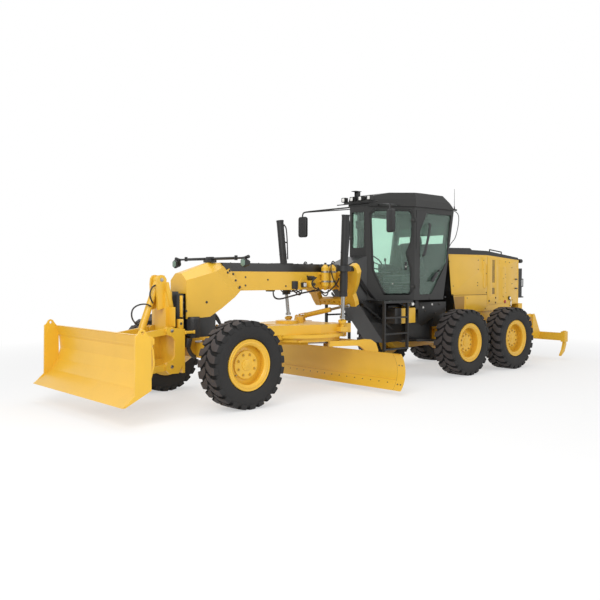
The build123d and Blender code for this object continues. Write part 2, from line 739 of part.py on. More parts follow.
def rear_guard():
    # black frame with upright slats over the cooler, with a step below and a grab handle each side
    x0, x1 = hood_rear - 170, hood_rear - seat_gap
    guard = block(x0, x1, -430, 430, 1370, 2000) - block(x0 - 5, x1 + 5, -350, 350, 1440, 1940)
    for i in range(9):
        y = -320 + i * 80
        guard += block(x0 + 20, x0 + 60, y - 12, y + 12, 1430, 1950)
    guard += block(x0 - 118, x0 + 10, -400, 400, 1370, 1395)
    for side in (-1, 1):
        y = side * 400
        guard += bar((x0 - 90, y, 1610), (x0 - 90, y, 1770), 10)
        for z in (1610, 1770):
            guard += bar((x0 + 5, y, z), (x0 - 90, y, z), 10)
    return guard


def rear_lamp():
    # the left one, on an arm from the hood's rear face
    y = hood_rear_half - 70
    arm = block(hood_rear - 190, hood_rear - seat_gap, y - 18, y + 18, 2118, 2136)
    arm += block(hood_rear - 12, hood_rear - seat_gap, y - 30, y + 30, 2080, 2150)
    return arm + Pos(hood_rear - 165, y, 2160) * Rot(0, 90, 0) * Cylinder(44, 90)


def tandem_axle():
    rear = tandem_first - tandem_pitch
    middle = (tandem_first + rear) / 2
    outline = []
    for cx, a0, a1 in ((tandem_first, 90, -90), (rear, -90, -270)):
        for i in range(9):
            a = math.radians(a0 + (a1 - a0) * i / 8)
            outline.append((cx + 250 * math.cos(a), tyre_radius + tandem_half_height * 0.82 * math.sin(a)))
    outline.insert(0, (middle, tyre_radius + tandem_half_height))
    outline.insert(10, (middle, tyre_radius - tandem_half_height * 0.75))
    housing = plate_y(outline, tandem_in, tandem_out)
    stub_end = rear_track + rear_rim_places[2] - 4
    for x in (tandem_first, rear):
        housing += bar((x, tandem_out - 5, tyre_radius), (x, stub_end, tyre_radius), spindle_radius)
        housing += bar((x, tandem_out - 5, tyre_radius), (x, rear_track + rear_rim_places[1] - 2, tyre_radius), 95)
    axle = bar((middle, -tandem_in, tyre_radius), (middle, tandem_in, tyre_radius), 150)
    axle += Pos(middle, 0, tyre_radius) * Sphere(265)
    axle -= block(middle - 300, middle + 300, -300, 300, 780, 1000)
    return housing + mirror(housing, about=Plane.XZ) + axle


# Drawbar, circle and blade

def drawbar():
    outer = [(-395, 150), (-520, 150), (-1900, drawbar_half), (drawbar_rear, drawbar_half), (drawbar_rear, -drawbar_half),
             (-1900, -drawbar_half), (-520, -150), (-395, -150)]
    inner = [(-760, 0), (-760, 62), (-1330, 262), (-1330, -262), (-760, -62)]
    body = plate_z(outer, drawbar_low, drawbar_high) - plate_z(inner, drawbar_low - 5, drawbar_high + 5)
    body -= block(drawbar_rear - 10, shift_low[0] - 30, shift_low[1] + 110, 260, drawbar_low + 55, drawbar_high + 10)
    body -= block(drawbar_rear - 10, drawbar_rear + 75, 255, drawbar_half - 95, drawbar_low + 55, drawbar_high + 10)
    cheek_gap = ball_radius + 6
    for side in (-1, 1):
        cheek = plate_y([(ball_x + 55, ball_z - 55), (ball_x + 55, ball_z + 55), (-470, 1050), (-470, 900)],
                        side * cheek_gap, side * 150)
        cheek -= bar((ball_x, -200, ball_z), (ball_x, 200, ball_z), drawbar_pin_radius + pin_play)
        body += cheek
    body -= Pos(ball_x, 0, ball_z) * Sphere(ball_radius + 40) - block(-500, 0, cheek_gap, 200, 800, 1200) \
        - block(-500, 0, -200, -cheek_gap, 800, 1200)
    for side in (-1, 1):
        x, y, z = lift_ball
        body += block(x - 80, x + 80, side * (drawbar_half - 10), side * (y + 48), 930, 1005)
        body += Pos(x, side * y, 1020) * Cylinder(30, 60)
        body += Pos(x, side * y, z) * Sphere(48)
    body += Pos(-1790, -80, drawbar_high + 20) * Cylinder(190, 44)
    body += Pos(-2110, -130, drawbar_high + 45) * Cylinder(70, 94)
    body += shift_foot()
    body += circle_shoes()
    return body


def shift_foot():
    # the bracket that holds the centre shift cylinder's ball
    x, y, z = shift_low
    foot = Part()
    for x0 in (x - 84, x + 60):
        foot += plate_x([(y - 60, drawbar_high - 5), (y + 60, drawbar_high - 5), (y + 34, z + 20), (y, z + 36),
                         (y - 34, z + 20)], x0, x0 + 24)
    foot += bar((x - 84, y, z), (x + 84, y, z), 22)
    return foot


def circle_shoes():
    shoes = Part()
    for angle in (26.0, 139.0, 221.0, 334.0):
        turn = Pos(circle_x, 0, 0) * Rot(0, 0, angle)
        block_out = Pos(circle_radius + 5 + 20, 0, 875) * Box(40, 120, 80)
        lip = Pos(circle_radius - 5, 0, 835) * Box(60, 120, 16)
        shoes += turn * (block_out + lip)
    return shoes


def circle():
    def disc(r_out, r_in, z0, z1):
        return Pos(circle_x, 0, (z0 + z1) / 2) * (Cylinder(r_out, z1 - z0) - Cylinder(r_in, z1 - z0 + 10))
    flange_low = 850.0
    top = drawbar_low - circle_run
    ring_part = disc(circle_radius, circle_bore, flange_low, top)
    ring_part += disc(circle_web_radius, circle_bore, circle_low, top)
    leg = circle_leg()
    return ring_part + leg + mirror(leg, about=Plane.XZ) + circle_cross()


leg_start = (-2060.0, 690.0)
leg_end = (-2850.0, 965.0)


def circle_leg():
    # the left arm, from the ring's underside back and down to the blade's pivot
    run = Vector(leg_end[0] - leg_start[0], leg_end[1] - leg_start[1], 0)
    plane = Plane(origin=(leg_start[0], leg_start[1], 0), x_dir=run, z_dir=run.cross(Vector(0, 0, 1)))
    length = run.length
    outline = [(-40, 700), (-40, circle_low + 2), (500, circle_low + 2), (600, 800), (length - 130, 790),
               (length - 40, 730), (length, 620), (length, 330), (length - 40, 190), (length - 130, 165), (628, 190),
               (628, 290), (662, 330), (660, 420), (645, 520), (590, 620), (500, 690), (420, 700)]
    leg = plane * extrude(make_face(Polyline(*outline, close=True)), 32, both=True)
    return leg - bar((tip_x, 600, tip_z), (tip_x, 1200, tip_z), tip_pin_radius + pin_play)


def circle_cross():
    # the tube that joins the arms, and the ears that hold the tip cylinder's barrel
    cross = bar((-2780, -930, 715), (-2780, 930, 715), 45)
    beam = block(-1560, -1480, -circle_bore * 0.9, circle_bore * 0.9, circle_low, 815)
    ears = Part()
    for y0 in (-66.0, 38.0):
        ears += plate_y([(-1560, circle_low + 5), (-1480, circle_low + 5), (-1490, 700), (-1550, 700)], y0, y0 + 28)
    ears += bar((-1520, -66, 730), (-1520, 66, 730), 18)
    return cross + beam + ears


def blade_outline(thick, low, high, offset_in=0.0):
    # the arc between two heights, as a closed section of this thickness behind the front face
    radius = blade_radius()
    cx = blade_centre_x()
    cz = (blade_top + blade_low) / 2
    def at(r, z):
        return (cx - math.sqrt(r * r - (z - cz) ** 2), z)
    mid = (low + high) / 2
    r0 = radius + offset_in
    r1 = r0 + thick
    front = ThreePointArc((*at_xyz(at(r0, low)),), (*at_xyz(at(r0, mid)),), (*at_xyz(at(r0, high)),))
    back = ThreePointArc((*at_xyz(at(r1, high)),), (*at_xyz(at(r1, mid)),), (*at_xyz(at(r1, low)),))
    top = Line(at_xyz(at(r0, high)), at_xyz(at(r1, high)))
    foot = Line(at_xyz(at(r1, low)), at_xyz(at(r0, low)))
    return make_face([front, top, back, foot])


def at_xyz(pair):
    return (pair[0], 0, pair[1])


def blade_radius():
    half = (blade_top - blade_low) / 2
    return (half * half + blade_depth * blade_depth) / (2 * blade_depth)


def blade_centre_x():
    return blade_face_x - blade_depth + blade_radius()


edge_high = 225.0
edge_thick = 16.0


def moldboard():
    # the curved sheet with its two slide rails and the side shift cylinder's rod lug
    sheet = extrude(blade_outline(blade_thick, blade_low + 60, blade_top, edge_thick), blade_half - 20, both=True)
    rails = Part()
    cx = blade_centre_x()
    cz = (blade_top + blade_low) / 2
    back = blade_radius() + edge_thick + blade_thick
    for z in (rail_high_z, rail_low_z):
        x = cx - math.sqrt(back * back - (z - cz) ** 2)
        rails += block(x - rail_deep, x + 6, -rail_reach, rail_reach, z - 22, z + 22)
    x, z = side_shift_axis
    lug = block(x - 30, -2560, 1380, 1420, z - 34, z + 34)
    rod = bar((x, -160, z), (x, 1400, z), 20)
    return sheet + rails + lug + rod


def cutting_edge():
    low = extrude(blade_outline(edge_thick - seat_gap, blade_low, edge_high), blade_half - 150, both=True)
    bits = Part()
    for side in (-1, 1):
        bit = extrude(blade_outline(edge_thick - seat_gap, blade_low, blade_top - 10), 75, both=True)
        bits += Pos(0, side * (blade_half - 75), 0) * bit
    return Compound(children=list(low.solids()) + list(bits.solids()))


def blade_carrier():
    # the bracket that holds the rails, hinged on the circle's arms, with the side shift barrel
    piece = Part()
    outline = [(tip_x - 48, tip_z - 50), (tip_x - 48, 300), (-2700, 560), (-2640, 590), (-2600, 590), (-2530, 560),
               (-2530, 120), (-2610, 120)]
    for side in (-1, 1):
        piece += plate_y(outline, side * shoe_in, side * shoe_out)
    cx = blade_centre_x()
    cz = (blade_top + blade_low) / 2
    back = blade_radius() + edge_thick + blade_thick
    piece -= Pos(cx, 0, cz) * Rot(90, 0, 0) * Cylinder(back + 8, 4000)
    for z in (rail_high_z, rail_low_z):
        x = cx - math.sqrt(back * back - (z - cz) ** 2)
        piece -= block(x - rail_deep - slide_play, x + 30, -2000, 2000, z - 22 - slide_play, z + 22 + slide_play)
    piece += block(-2700, -2650, -shoe_out, shoe_out, 420, 520)
    for side in (-1, 1):
        piece += bar((tip_x, side * (shoe_out - 5), tip_z), (tip_x, side * 960, tip_z), tip_pin_radius)
    for y0 in (-66.0, 38.0):
        piece += plate_y([(-2700, 430), (-2700, 640), (-2675, 720), (-2615, 720), (-2600, 640), (-2650, 430)], y0, y0 + 28)
    for y0 in (-84.0, 62.0):
        piece += bar((tip_ear[0], y0, tip_ear[1]), (tip_ear[0], y0 + 22, tip_ear[1]), 24)
    piece += side_shift_barrel()
    x, z = side_shift_axis
    return piece - bar((x, -700, z), (x, 900, z), 20 + pin_play)


def side_shift_barrel():
    x, z = side_shift_axis
    barrel = bar((x, -760, z), (x, 570, z), 42)
    return barrel + block(-2700, x, -700, -shoe_in, z - 60, z + 80)


def tip_cylinder():
    start = (tip_cross[0], 0.0, tip_cross[1])
    end = (tip_ear[0], 0.0, tip_ear[1])
    length = (Vector(*end) - Vector(*start)).length
    barrel = bar(along(start, end, 30), along(start, end, 640), 38)
    barrel += bar((start[0], -36, start[2]), (start[0], 36, start[2]), 34)
    barrel -= bar((start[0], -50, start[2]), (start[0], 50, start[2]), 18 + pin_play)
    barrel -= bar(along(start, end, 50), along(start, end, 700), 20 + pin_play)
    rod = bar(along(start, end, 350), along(start, end, length - 10), 20)
    rod += bar((end[0], -30, end[2]), (end[0], 30, end[2]), tip_eye_radius)
    return barrel, rod


def shift_line():
    return Vector(*shift_high) - Vector(*shift_low)


def shift_ball():
    # the ball that the barrel's fork is pinned on
    x, y, z = shift_low
    ball = Pos(*shift_low) * Sphere(shift_ball_radius)
    ball -= bar((x - 90, y, z), (x + 90, y, z), 22 + pin_play)
    across = shift_line().cross(Vector(1, 0, 0)).normalized()
    first = Vector(*shift_low) + across * 46
    second = Vector(*shift_low) - across * 46
    stub = bar(tuple(first), tuple(second), 16)
    return ball + (stub - bar((x - 90, y, z), (x + 90, y, z), 22 + pin_play))


def shift_cylinder():
    # the rod reaches up to the link bar's left end
    length = shift_line().length
    across = shift_line().cross(Vector(1, 0, 0)).normalized()
    fork_plane = Plane(origin=shift_low, x_dir=shift_line(), z_dir=across)
    barrel = bar(along(shift_low, shift_high, 105), along(shift_low, shift_high, 600), 42)
    cheek = Pos(55, 0, 0) * Box(140, 36, 12) + Cylinder(22, 12)
    for side in (-1, 1):
        barrel += fork_plane * Pos(0, 0, side * 40) * cheek
    barrel += fork_plane * Pos(108, 0, 0) * Box(20, 40, 80)
    barrel -= bar(tuple(Vector(*shift_low) + across * 90), tuple(Vector(*shift_low) - across * 90), 16 + pin_play)
    barrel -= bar(along(shift_low, shift_high, 130), along(shift_low, shift_high, 700), 22 + pin_play)
    rod = bar(along(shift_low, shift_high, 358), along(shift_low, shift_high, length - 20), 22)
    rod += Pos(*shift_high) * Sphere(34)
    return barrel, rod


# Front dozer blade

def arm_end(z):
    a = math.radians(arm_tilt)
    return (arm_pin_x + arm_length * math.cos(a), z - arm_length * math.sin(a))


def dozer_tower():
    back = block(tower_back, tower_back + 40, -side_plate_in - side_plate_thick, side_plate_in + side_plate_thick,
                 455, 1075)
    back += block(tower_back, tower_front, -150, 150, 1000, 1600)
    outline = [(tower_back, 640), (540, 456), (690, 456), (735, 500), (745, 556), (725, 610), (640, 650), (600, 700),
               (600, 920), (640, 975), (715, 1000), (745, 1057), (720, 1110), (tower_back, 1075)]
    tower = back
    for side in (-1, 1):
        y0 = side * side_plate_in
        tower += plate_y(outline, y0, y0 + side * side_plate_thick)
        for z in (arm_pin_high, arm_pin_low):
            tower += bar((arm_pin_x, side * (arm_y - 50), z), (arm_pin_x, y0 + side * 10, z), dozer_pin_radius)
            ear = Pos(arm_pin_x, side * (arm_y - 44), z) * Rot(90, 0, 0) * Cylinder(58, 24)
            web = block(tower_back, arm_pin_x, side * (arm_y - 56), side * (arm_y - 32), z - 58, z + 58)
            tower += ear + web
    x, _, z = dozer_cyl_top
    clevis = [(x - 70, 1380), (x + 60, 1340), (x + 78, 1700), (x + 70, z + 20), (x + 40, z + 62), (x, z + 70),
              (x - 45, z + 60), (x - 80, z + 10)]
    for side in (-1, 1):
        tower += plate_y(clevis, side * 66, side * 104)
    tower += block(560, 640, -104, 104, 1340, 1600)
    tower += bar((x, -104, z), (x, 104, z), 26)
    return tower


def dozer_arms(z):
    # the pair of arms on the pins at this height
    end = arm_end(z)
    pair = Part()
    width = 88.0
    a = math.radians(arm_tilt)
    dx, dz = width / 2 * math.sin(a), width / 2 * math.cos(a)
    for side in (-1, 1):
        y0, y1 = side * (arm_y - arm_half), side * (arm_y + arm_half)
        arm = plate_y([(arm_pin_x + dx, z + dz), (end[0] + dx, end[1] + dz), (end[0] - dx, end[1] - dz),
                       (arm_pin_x - dx, z - dz)], y0, y1)
        for px, pz in ((arm_pin_x, z), end):
            arm += bar((px, y0, pz), (px, y1, pz), 46)
            arm -= bar((px, y0 * 0.8, pz), (px, y1 * 1.2, pz), dozer_pin_radius + pin_play)
        pair += arm
    return pair


def dozer_lower_arms():
    frame = dozer_arms(arm_pin_low)
    x, _, z = dozer_cyl_low
    frame += block(x - 45, x + 45, -arm_y + arm_half - 2, arm_y - arm_half + 2, 470, 560)
    for y0 in (-64.0, 38.0):
        frame += plate_y([(x - 45, 540), (x + 45, 540), (x + 30, z + 20), (x, z + 34), (x - 30, z + 20)], y0, y0 + 26)
    return frame


def dozer_upper_arms():
    pair = dozer_arms(arm_pin_high)
    x = arm_pin_x + 660
    z = arm_pin_high - 660 * math.tan(math.radians(arm_tilt))
    return pair + bar((x, -arm_y, z), (x, arm_y, z), 30)


# Dozer end plate corners: X, Z
dozer_end_plate = [(1574.0, 438.0), (1572.0, 1057.0), (1632.0, 1130.0), (1660.0, 1172.0), (1691.0, 1185.0),
                   (1722.0, 1172.0), (1750.0, 1125.0), (1784.0, 1098.0), (1796.0, 399.0), (1925.0, 278.0),
                   (1925.0, 263.0)]


def dozer_blade():
    half = dozer_half
    face = [(1622, 1085), (1560, 930), (1545, 760), (1585, 600), (1690, 450), (1905, 290)]
    sheet_front = Polyline(*[(x, 0, z) for x, z in face])
    back = [(x - 24, z - 2) for x, z in face]
    outline = face + list(reversed(back))
    sheet = plate_y(outline, -half + 10, half - 10)
    edge = plate_y([(1690, 452), (1948, 270), (dozer_edge_x, 263), (1935, 263), (1688, 437)], -half + 10, half - 10)
    blade = sheet + edge
    for side in (-1, 1):
        plate = plate_y(dozer_end_plate, side * (half - 30), side * half)
        plate -= bar((1691, -half * 2, 1140), (1691, half * 2, 1140), 20)
        blade += plate
    blade += plate_y([(1625, 1092), (1560, 1092), (1520, 1060), (1520, 1000), (1575, 960), (1600, 1060)], -half + 20, half - 20)
    blade += dozer_brackets()
    return blade


def dozer_brackets():
    group = Part()
    x_high, z_high = arm_end(arm_pin_high)
    x_low, z_low = arm_end(arm_pin_low)
    outline = [(x_high - 30, z_high + 52), (x_high - 56, z_high), (x_high - 30, z_high - 60), (x_low - 30, z_low + 80),
               (x_low - 58, z_low), (x_low - 20, z_low - 60), (1600, 505), (1580, 600), (1540, 760), (1555, 930),
               (1560, 990)]
    for side in (-1, 1):
        inner = side * (arm_y - arm_half - 3)
        outer = side * (arm_y + arm_half + 3)
        group += plate_y(outline, inner - side * 28, inner)
        group += plate_y(outline, outer, outer + side * 28)
        for x, z in ((x_high, z_high), (x_low, z_low)):
            group += bar((x, inner - side * 28, z), (x, outer + side * 28, z), dozer_pin_radius)
    # the room that the arms' ends need between the plates
    return group


def dozer_cylinder():
    start, end = dozer_cyl_top, dozer_cyl_low
    length = (Vector(*end) - Vector(*start)).length
    barrel = bar(along(start, end, 30), along(start, end, 760), 50)
    barrel += bar((start[0], -62, start[2]), (start[0], 62, start[2]), 46)
    barrel -= bar((start[0], -80, start[2]), (start[0], 80, start[2]), 26 + pin_play)
    barrel -= bar(along(start, end, 90), along(start, end, 900), 25 + pin_play)
    rod = bar(along(start, end, 420), along(start, end, length - 26), 25)
    return barrel, rod


# Ripper

def ripper_end(z):
    a = math.radians(ripper_arm_tilt)
    return (ripper_pin_x - ripper_arm_length * math.cos(a), z - ripper_arm_length * math.sin(a))


def ripper_links_at(z, width, thick):
    end = ripper_end(z)
    a = math.radians(ripper_arm_tilt)
    dx, dz = width / 2 * math.sin(a), width / 2 * math.cos(a)
    pair = Part()
    for y in ripper_arm_places:
        link = plate_y([(ripper_pin_x - dx, z + dz), (end[0] - dx, end[1] + dz), (end[0] + dx, end[1] - dz),
                        (ripper_pin_x + dx, z - dz)], y - thick / 2, y + thick / 2)
        for px, pz in ((ripper_pin_x, z), end):
            link += bar((px, y - thick / 2, pz), (px, y + thick / 2, pz), width / 2 + 4)
            link -= bar((px, y - thick, pz), (px, y + thick, pz), 26 + pin_play)
        pair += link
    return pair


def ripper_beam():
    x_high, z_high = ripper_end(ripper_high_z)
    x_low, z_low = ripper_end(ripper_low_z)
    beam_x0, beam_x1 = x_low - ripper_beam_back, x_low - ripper_beam_back + 90
    beam = block(beam_x0, beam_x1, -ripper_half, ripper_half, 425, 592)
    outline = [(x_high + 40, z_high + 34), (x_high + 40, z_high - 40), (x_low + 46, z_low + 60), (x_low + 46, z_low - 30),
               (x_low, z_low - 50), (beam_x1, 430), (beam_x1, 590), (x_high - 50, z_high), (x_high - 20, z_high + 44)]
    for y in ripper_arm_places:
        for y0 in (y - 62, y + 34):
            beam += plate_y(outline, y0, y0 + 28)
        for x, z in ((x_high, z_high), (x_low, z_low)):
            beam += bar((x, y - 62, z), (x, y + 62, z), 26)
    for y in shank_places:
        beam += ripper_shank(y, beam_x0, beam_x1)
    return beam


def ripper_shank(y, x0, x1):
    socket = block(x0 - socket_back, x1 + 20, y - 45, y + 45, 400, 625)
    outline = [(x0 - 10, 640), (x0 + 70, 640), (x0 + 70, 380), (x0 + 120, 240), (x0 + 215, 110), (x0 + 200, 95),
               (x0 + 60, 190), (x0 - 10, 340)]
    return socket + plate_y(outline, y - 26, y + 26)


def ripper_cyl_low():
    a = math.radians(ripper_arm_tilt)
    return (ripper_pin_x - ripper_cyl_reach * math.cos(a), ripper_low_z - ripper_cyl_reach * math.sin(a))


def ripper_cylinders():
    barrels = []
    rods = []
    top = ripper_cyl_top
    low = ripper_cyl_low()
    for side in (-1, 1):
        y = side * ripper_cyl_y
        start = (top[0], y, top[1])
        end = (low[0], y, low[1])
        length = (Vector(*end) - Vector(*start)).length
        barrel = bar(along(start, end, 80), along(start, end, 395), 40)
        barrel += bar(along(start, end, 10), along(start, end, 90), 28)
        barrel += bar((start[0], y - 30, start[2]), (start[0], y + 30, start[2]), 36)
        barrel -= bar((start[0], y - 60, start[2]), (start[0], y + 60, start[2]), 20 + pin_play)
        barrel -= bar(along(start, end, 45), along(start, end, length), 20 + pin_play)
        barrels.append(barrel)
        rod = bar(along(start, end, 240), along(start, end, length - 10), 20)
        rod += bar((end[0], y - 28, end[2]), (end[0], y + 28, end[2]), 34)
        rods.append(rod)
    return barrels, rods


def ripper_arms():
    # the two lower arms, the tube between them and the ears for the cylinders' rods
    pair = ripper_links_at(ripper_low_z, 90, 58)
    x, z = ripper_cyl_low()
    inner = ripper_arm_places[1] - 20
    pair += bar((x - 150, -inner, z - 10), (x - 150, inner, z - 10), 40)
    for y in (-ripper_cyl_y, ripper_cyl_y):
        for y0 in (y - 58, y + 34):
            ear = plate_y([(x - 150, z - 44), (x - 150, z + 24), (x, z + 40), (x + 36, z), (x, z - 40)], y0, y0 + 24)
            pair += ear
        for y0 in (y - 74, y + 54):
            pair += bar((x, y0, z), (x, y0 + 20, z), 26)
    return pair


def middle_shift():
    # the front tip is the dozer's edge, the rear one the ripper's sockets
    rear = ripper_end(ripper_low_z)[0] - ripper_beam_back - socket_back
    return -(dozer_edge_x + rear) / 2


origin_shift = middle_shift()


def save(name, shape):
    pieces = shape if isinstance(shape, (list, tuple)) else [shape]
    solids = []
    for piece in pieces:
        solids += list(piece.solids())
    moved = [Pos(origin_shift, 0, 0) * solid for solid in solids]
    export_step(moved[0] if len(moved) == 1 else Compound(children=moved), f"parts/{name}.step")


os.makedirs("parts", exist_ok=True)

one_tyre = tyre()
front_rim = rim(*front_rim_places)
rear_rim = rim(*rear_rim_places)
wheel_places = [("front", 0.0, front_track, front_rim), ("mid", tandem_first, rear_track, rear_rim),
                ("rear", tandem_first - tandem_pitch, rear_track, rear_rim)]
for place, x, y, one_rim in wheel_places:
    for side, letter in ((1, "l"), (-1, "r")):
        save(f"tyre_{place}_{letter}", wheel(one_tyre, x, side * y))
        save(f"rim_{place}_{letter}", wheel(one_rim, x, side * y))

for letter, about in (("l", None), ("r", Plane.XZ)):
    for name, make in (("lean", lean_carrier), ("knuckle", knuckle), ("door", door), ("lift_barrel", lift_barrel),
                       ("lift_rod", lift_rod)):
        piece = make()
        save(f"{name}_{letter}", piece if about is None else mirror(piece, about=about))

save("front_frame", front_frame() + accumulators() + side_box() + mirror(side_box(), about=Plane.XZ))
save("cowl", cowl())
save("front_axle", front_axle())
save("saddle", saddle())
save("cab_shell", cab_shell())
save("cab_roof", cab_roof())
save("cab_glass", cab_glass())
save("seat", seat())
save("steps", both_sides(steps()))
save("lamps_mirrors", [lamp_bar(), aerial()] + both_sides(mirrors()))
save("rear_frame", rear_frame())
save("engine_block", engine_block())
save("hood", hood())
save("hood_top", hood_top())
save("rear_guard", [rear_guard()] + both_sides(rear_lamp()))
save("tandem_axle", tandem_axle())
save("drawbar_ball", drawbar_ball())
save("drawbar", drawbar())
save("circle", circle())
save("blade_carrier", blade_carrier())
save("moldboard", moldboard())
save("cutting_edge", cutting_edge())
tip_barrel, tip_rod = tip_cylinder()
save("tip_barrel", tip_barrel)
save("tip_rod", tip_rod)
shift_barrel, shift_rod = shift_cylinder()
save("shift_ball", shift_ball())
save("shift_barrel", shift_barrel)
save("shift_rod", shift_rod)
save("dozer_tower", dozer_tower())
save("dozer_lower_arms", dozer_lower_arms())
save("dozer_upper_arms", dozer_upper_arms())
save("dozer_blade", dozer_blade())
dozer_barrel, dozer_rod = dozer_cylinder()
save("dozer_barrel", dozer_barrel)
save("dozer_rod", dozer_rod)
save("ripper_arms", ripper_arms())
save("ripper_links", ripper_links_at(ripper_high_z, 64, 58))
save("ripper_beam", ripper_beam())
ripper_barrels, ripper_rods = ripper_cylinders()
save("ripper_barrels", ripper_barrels)
save("ripper_rods", ripper_rods)
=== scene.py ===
import math

import bmesh
import bpy
from mathutils import Matrix, Vector


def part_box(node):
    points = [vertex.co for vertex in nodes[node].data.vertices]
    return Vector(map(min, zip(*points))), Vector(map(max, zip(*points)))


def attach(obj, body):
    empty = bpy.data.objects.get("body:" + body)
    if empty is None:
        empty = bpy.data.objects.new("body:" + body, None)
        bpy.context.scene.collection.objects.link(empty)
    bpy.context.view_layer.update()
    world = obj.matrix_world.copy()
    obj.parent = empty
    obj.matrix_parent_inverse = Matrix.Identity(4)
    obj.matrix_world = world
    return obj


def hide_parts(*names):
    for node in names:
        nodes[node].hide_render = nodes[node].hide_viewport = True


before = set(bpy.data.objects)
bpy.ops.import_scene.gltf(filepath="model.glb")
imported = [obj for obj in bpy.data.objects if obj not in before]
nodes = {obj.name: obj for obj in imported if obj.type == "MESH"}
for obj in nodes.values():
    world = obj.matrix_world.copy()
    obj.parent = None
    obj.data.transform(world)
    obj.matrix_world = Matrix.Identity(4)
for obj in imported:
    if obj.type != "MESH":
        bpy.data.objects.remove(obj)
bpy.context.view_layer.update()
# lengthwise places are measured from the front axle
axleX = (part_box("tyre_front_l")[0].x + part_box("tyre_front_l")[1].x) / 2
sides = (("l", 1), ("r", -1))
print("frame loaded")


def at(x, y, z):
    return Vector((axleX + x, y, z))


# ---- materials

def newGroup(name, inputs, outputs):
    group = bpy.data.node_groups.new(name, "ShaderNodeTree")
    for label, kind, value in inputs:
        socket = group.interface.new_socket(name=label, in_out="INPUT", socket_type=kind)
        socket.default_value = value
    for label, kind in outputs:
        group.interface.new_socket(name=label, in_out="OUTPUT", socket_type=kind)
    return group, group.nodes.new("NodeGroupInput"), group.nodes.new("NodeGroupOutput")


def addNode(tree, kind, **values):
    node = tree.nodes.new(kind)
    for key, value in values.items():
        if key in node.inputs:
            node.inputs[key].default_value = value
        else:
            setattr(node, key, value)
    return node


def feed(tree, sockets, values):
    # links or sets each input
    for socket, value in zip(sockets, values):
        if isinstance(value, bpy.types.NodeSocket):
            tree.links.new(value, socket)
        else:
            socket.default_value = value


def mixColour(tree, factor, first, second):
    mix = addNode(tree, "ShaderNodeMix", data_type="RGBA")
    feed(tree, (mix.inputs[0], mix.inputs[6], mix.inputs[7]), (factor, first, second))
    return mix.outputs[2]


def toRange(tree, value, low, high, newLow, newHigh):
    node = addNode(tree, "ShaderNodeMapRange")
    feed(tree, node.inputs[0:5], (value, low, high, newLow, newHigh))
    return node.outputs["Result"]


def maths(tree, operation, *values):
    node = addNode(tree, "ShaderNodeMath", operation=operation)
    feed(tree, node.inputs, values)
    return node.outputs[0]


def paintFilm():
    # slight change of tone over a sprayed surface, dust that settles low down, and the film's fine waviness
    group, into, out = newGroup("paintFilm", [
        ("Colour", "NodeSocketColor", (0.8, 0.45, 0.05, 1)), ("Dust", "NodeSocketColor", (0.35, 0.29, 0.2, 1)),
        ("Tone", "NodeSocketFloat", 0.08), ("Dust Amount", "NodeSocketFloat", 0.1),
        ("Dust Height", "NodeSocketFloat", 0.9), ("Gloss", "NodeSocketFloat", 0.35)],
        [("Colour", "NodeSocketColor"), ("Roughness", "NodeSocketFloat"), ("Height", "NodeSocketFloat")])
    where = addNode(group, "ShaderNodeTexCoord").outputs["Object"]
    broad = addNode(group, "ShaderNodeTexNoise", Scale=1.7, Detail=4.0, Roughness=0.6)
    fine = addNode(group, "ShaderNodeTexNoise", Scale=38.0, Detail=5.0, Roughness=0.65)
    skin = addNode(group, "ShaderNodeTexNoise", Scale=420.0, Detail=2.0)
    for noise in (broad, fine, skin):
        group.links.new(where, noise.inputs["Vector"])
    dark = mixColour(group, into.outputs["Tone"], into.outputs["Colour"], (0.0, 0.0, 0.0, 1))
    toned = mixColour(group, toRange(group, broad.outputs["Fac"], 0.35, 0.65, 0.0, 1.0), dark, into.outputs["Colour"])
    height = addNode(group, "ShaderNodeSeparateXYZ")
    group.links.new(where, height.inputs[0])
    low = toRange(group, height.outputs["Z"], 0.0, into.outputs["Dust Height"], 1.0, 0.0)
    patch = toRange(group, fine.outputs["Fac"], 0.38, 0.7, 0.15, 1.0)
    share = maths(group, "MULTIPLY", maths(group, "MULTIPLY", low, patch), into.outputs["Dust Amount"])
    group.links.new(mixColour(group, share, toned, into.outputs["Dust"]), out.inputs["Colour"])
    rough = toRange(group, fine.outputs["Fac"], 0.3, 0.7, -0.04, 0.06)
    total = maths(group, "ADD", rough, into.outputs["Gloss"])
    group.links.new(maths(group, "MULTIPLY_ADD", share, 0.4, total), out.inputs["Roughness"])
    group.links.new(skin.outputs["Fac"], out.inputs["Height"])
    return group


paintFilmGroup = paintFilm()


def finish(name, colour, gloss, tone=0.08, dust=0.0, dustHeight=0.9, metallic=0.0, coat=0.0, relief=0.04,
           dustColour=(0.35, 0.29, 0.2)):
    material = bpy.data.materials.new(name)
    material.use_nodes = True
    tree = material.node_tree
    shader = tree.nodes["Principled BSDF"]
    film = tree.nodes.new("ShaderNodeGroup")
    film.node_tree = paintFilmGroup
    for label, value in (("Colour", (*colour, 1)), ("Dust", (*dustColour, 1)), ("Tone", tone), ("Dust Amount", dust),
                         ("Dust Height", dustHeight), ("Gloss", gloss)):
        film.inputs[label].default_value = value
    tree.links.new(film.outputs["Colour"], shader.inputs["Base Color"])
    tree.links.new(film.outputs["Roughness"], shader.inputs["Roughness"])
    bump = addNode(tree, "ShaderNodeBump", Strength=relief, Distance=0.002)
    tree.links.new(film.outputs["Height"], bump.inputs["Height"])
    tree.links.new(bump.outputs["Normal"], shader.inputs["Normal"])
    shader.inputs["Metallic"].default_value = metallic
    shader.inputs["Coat Weight"].default_value = coat
    shader.inputs["Coat Roughness"].default_value = 0.12
    return material


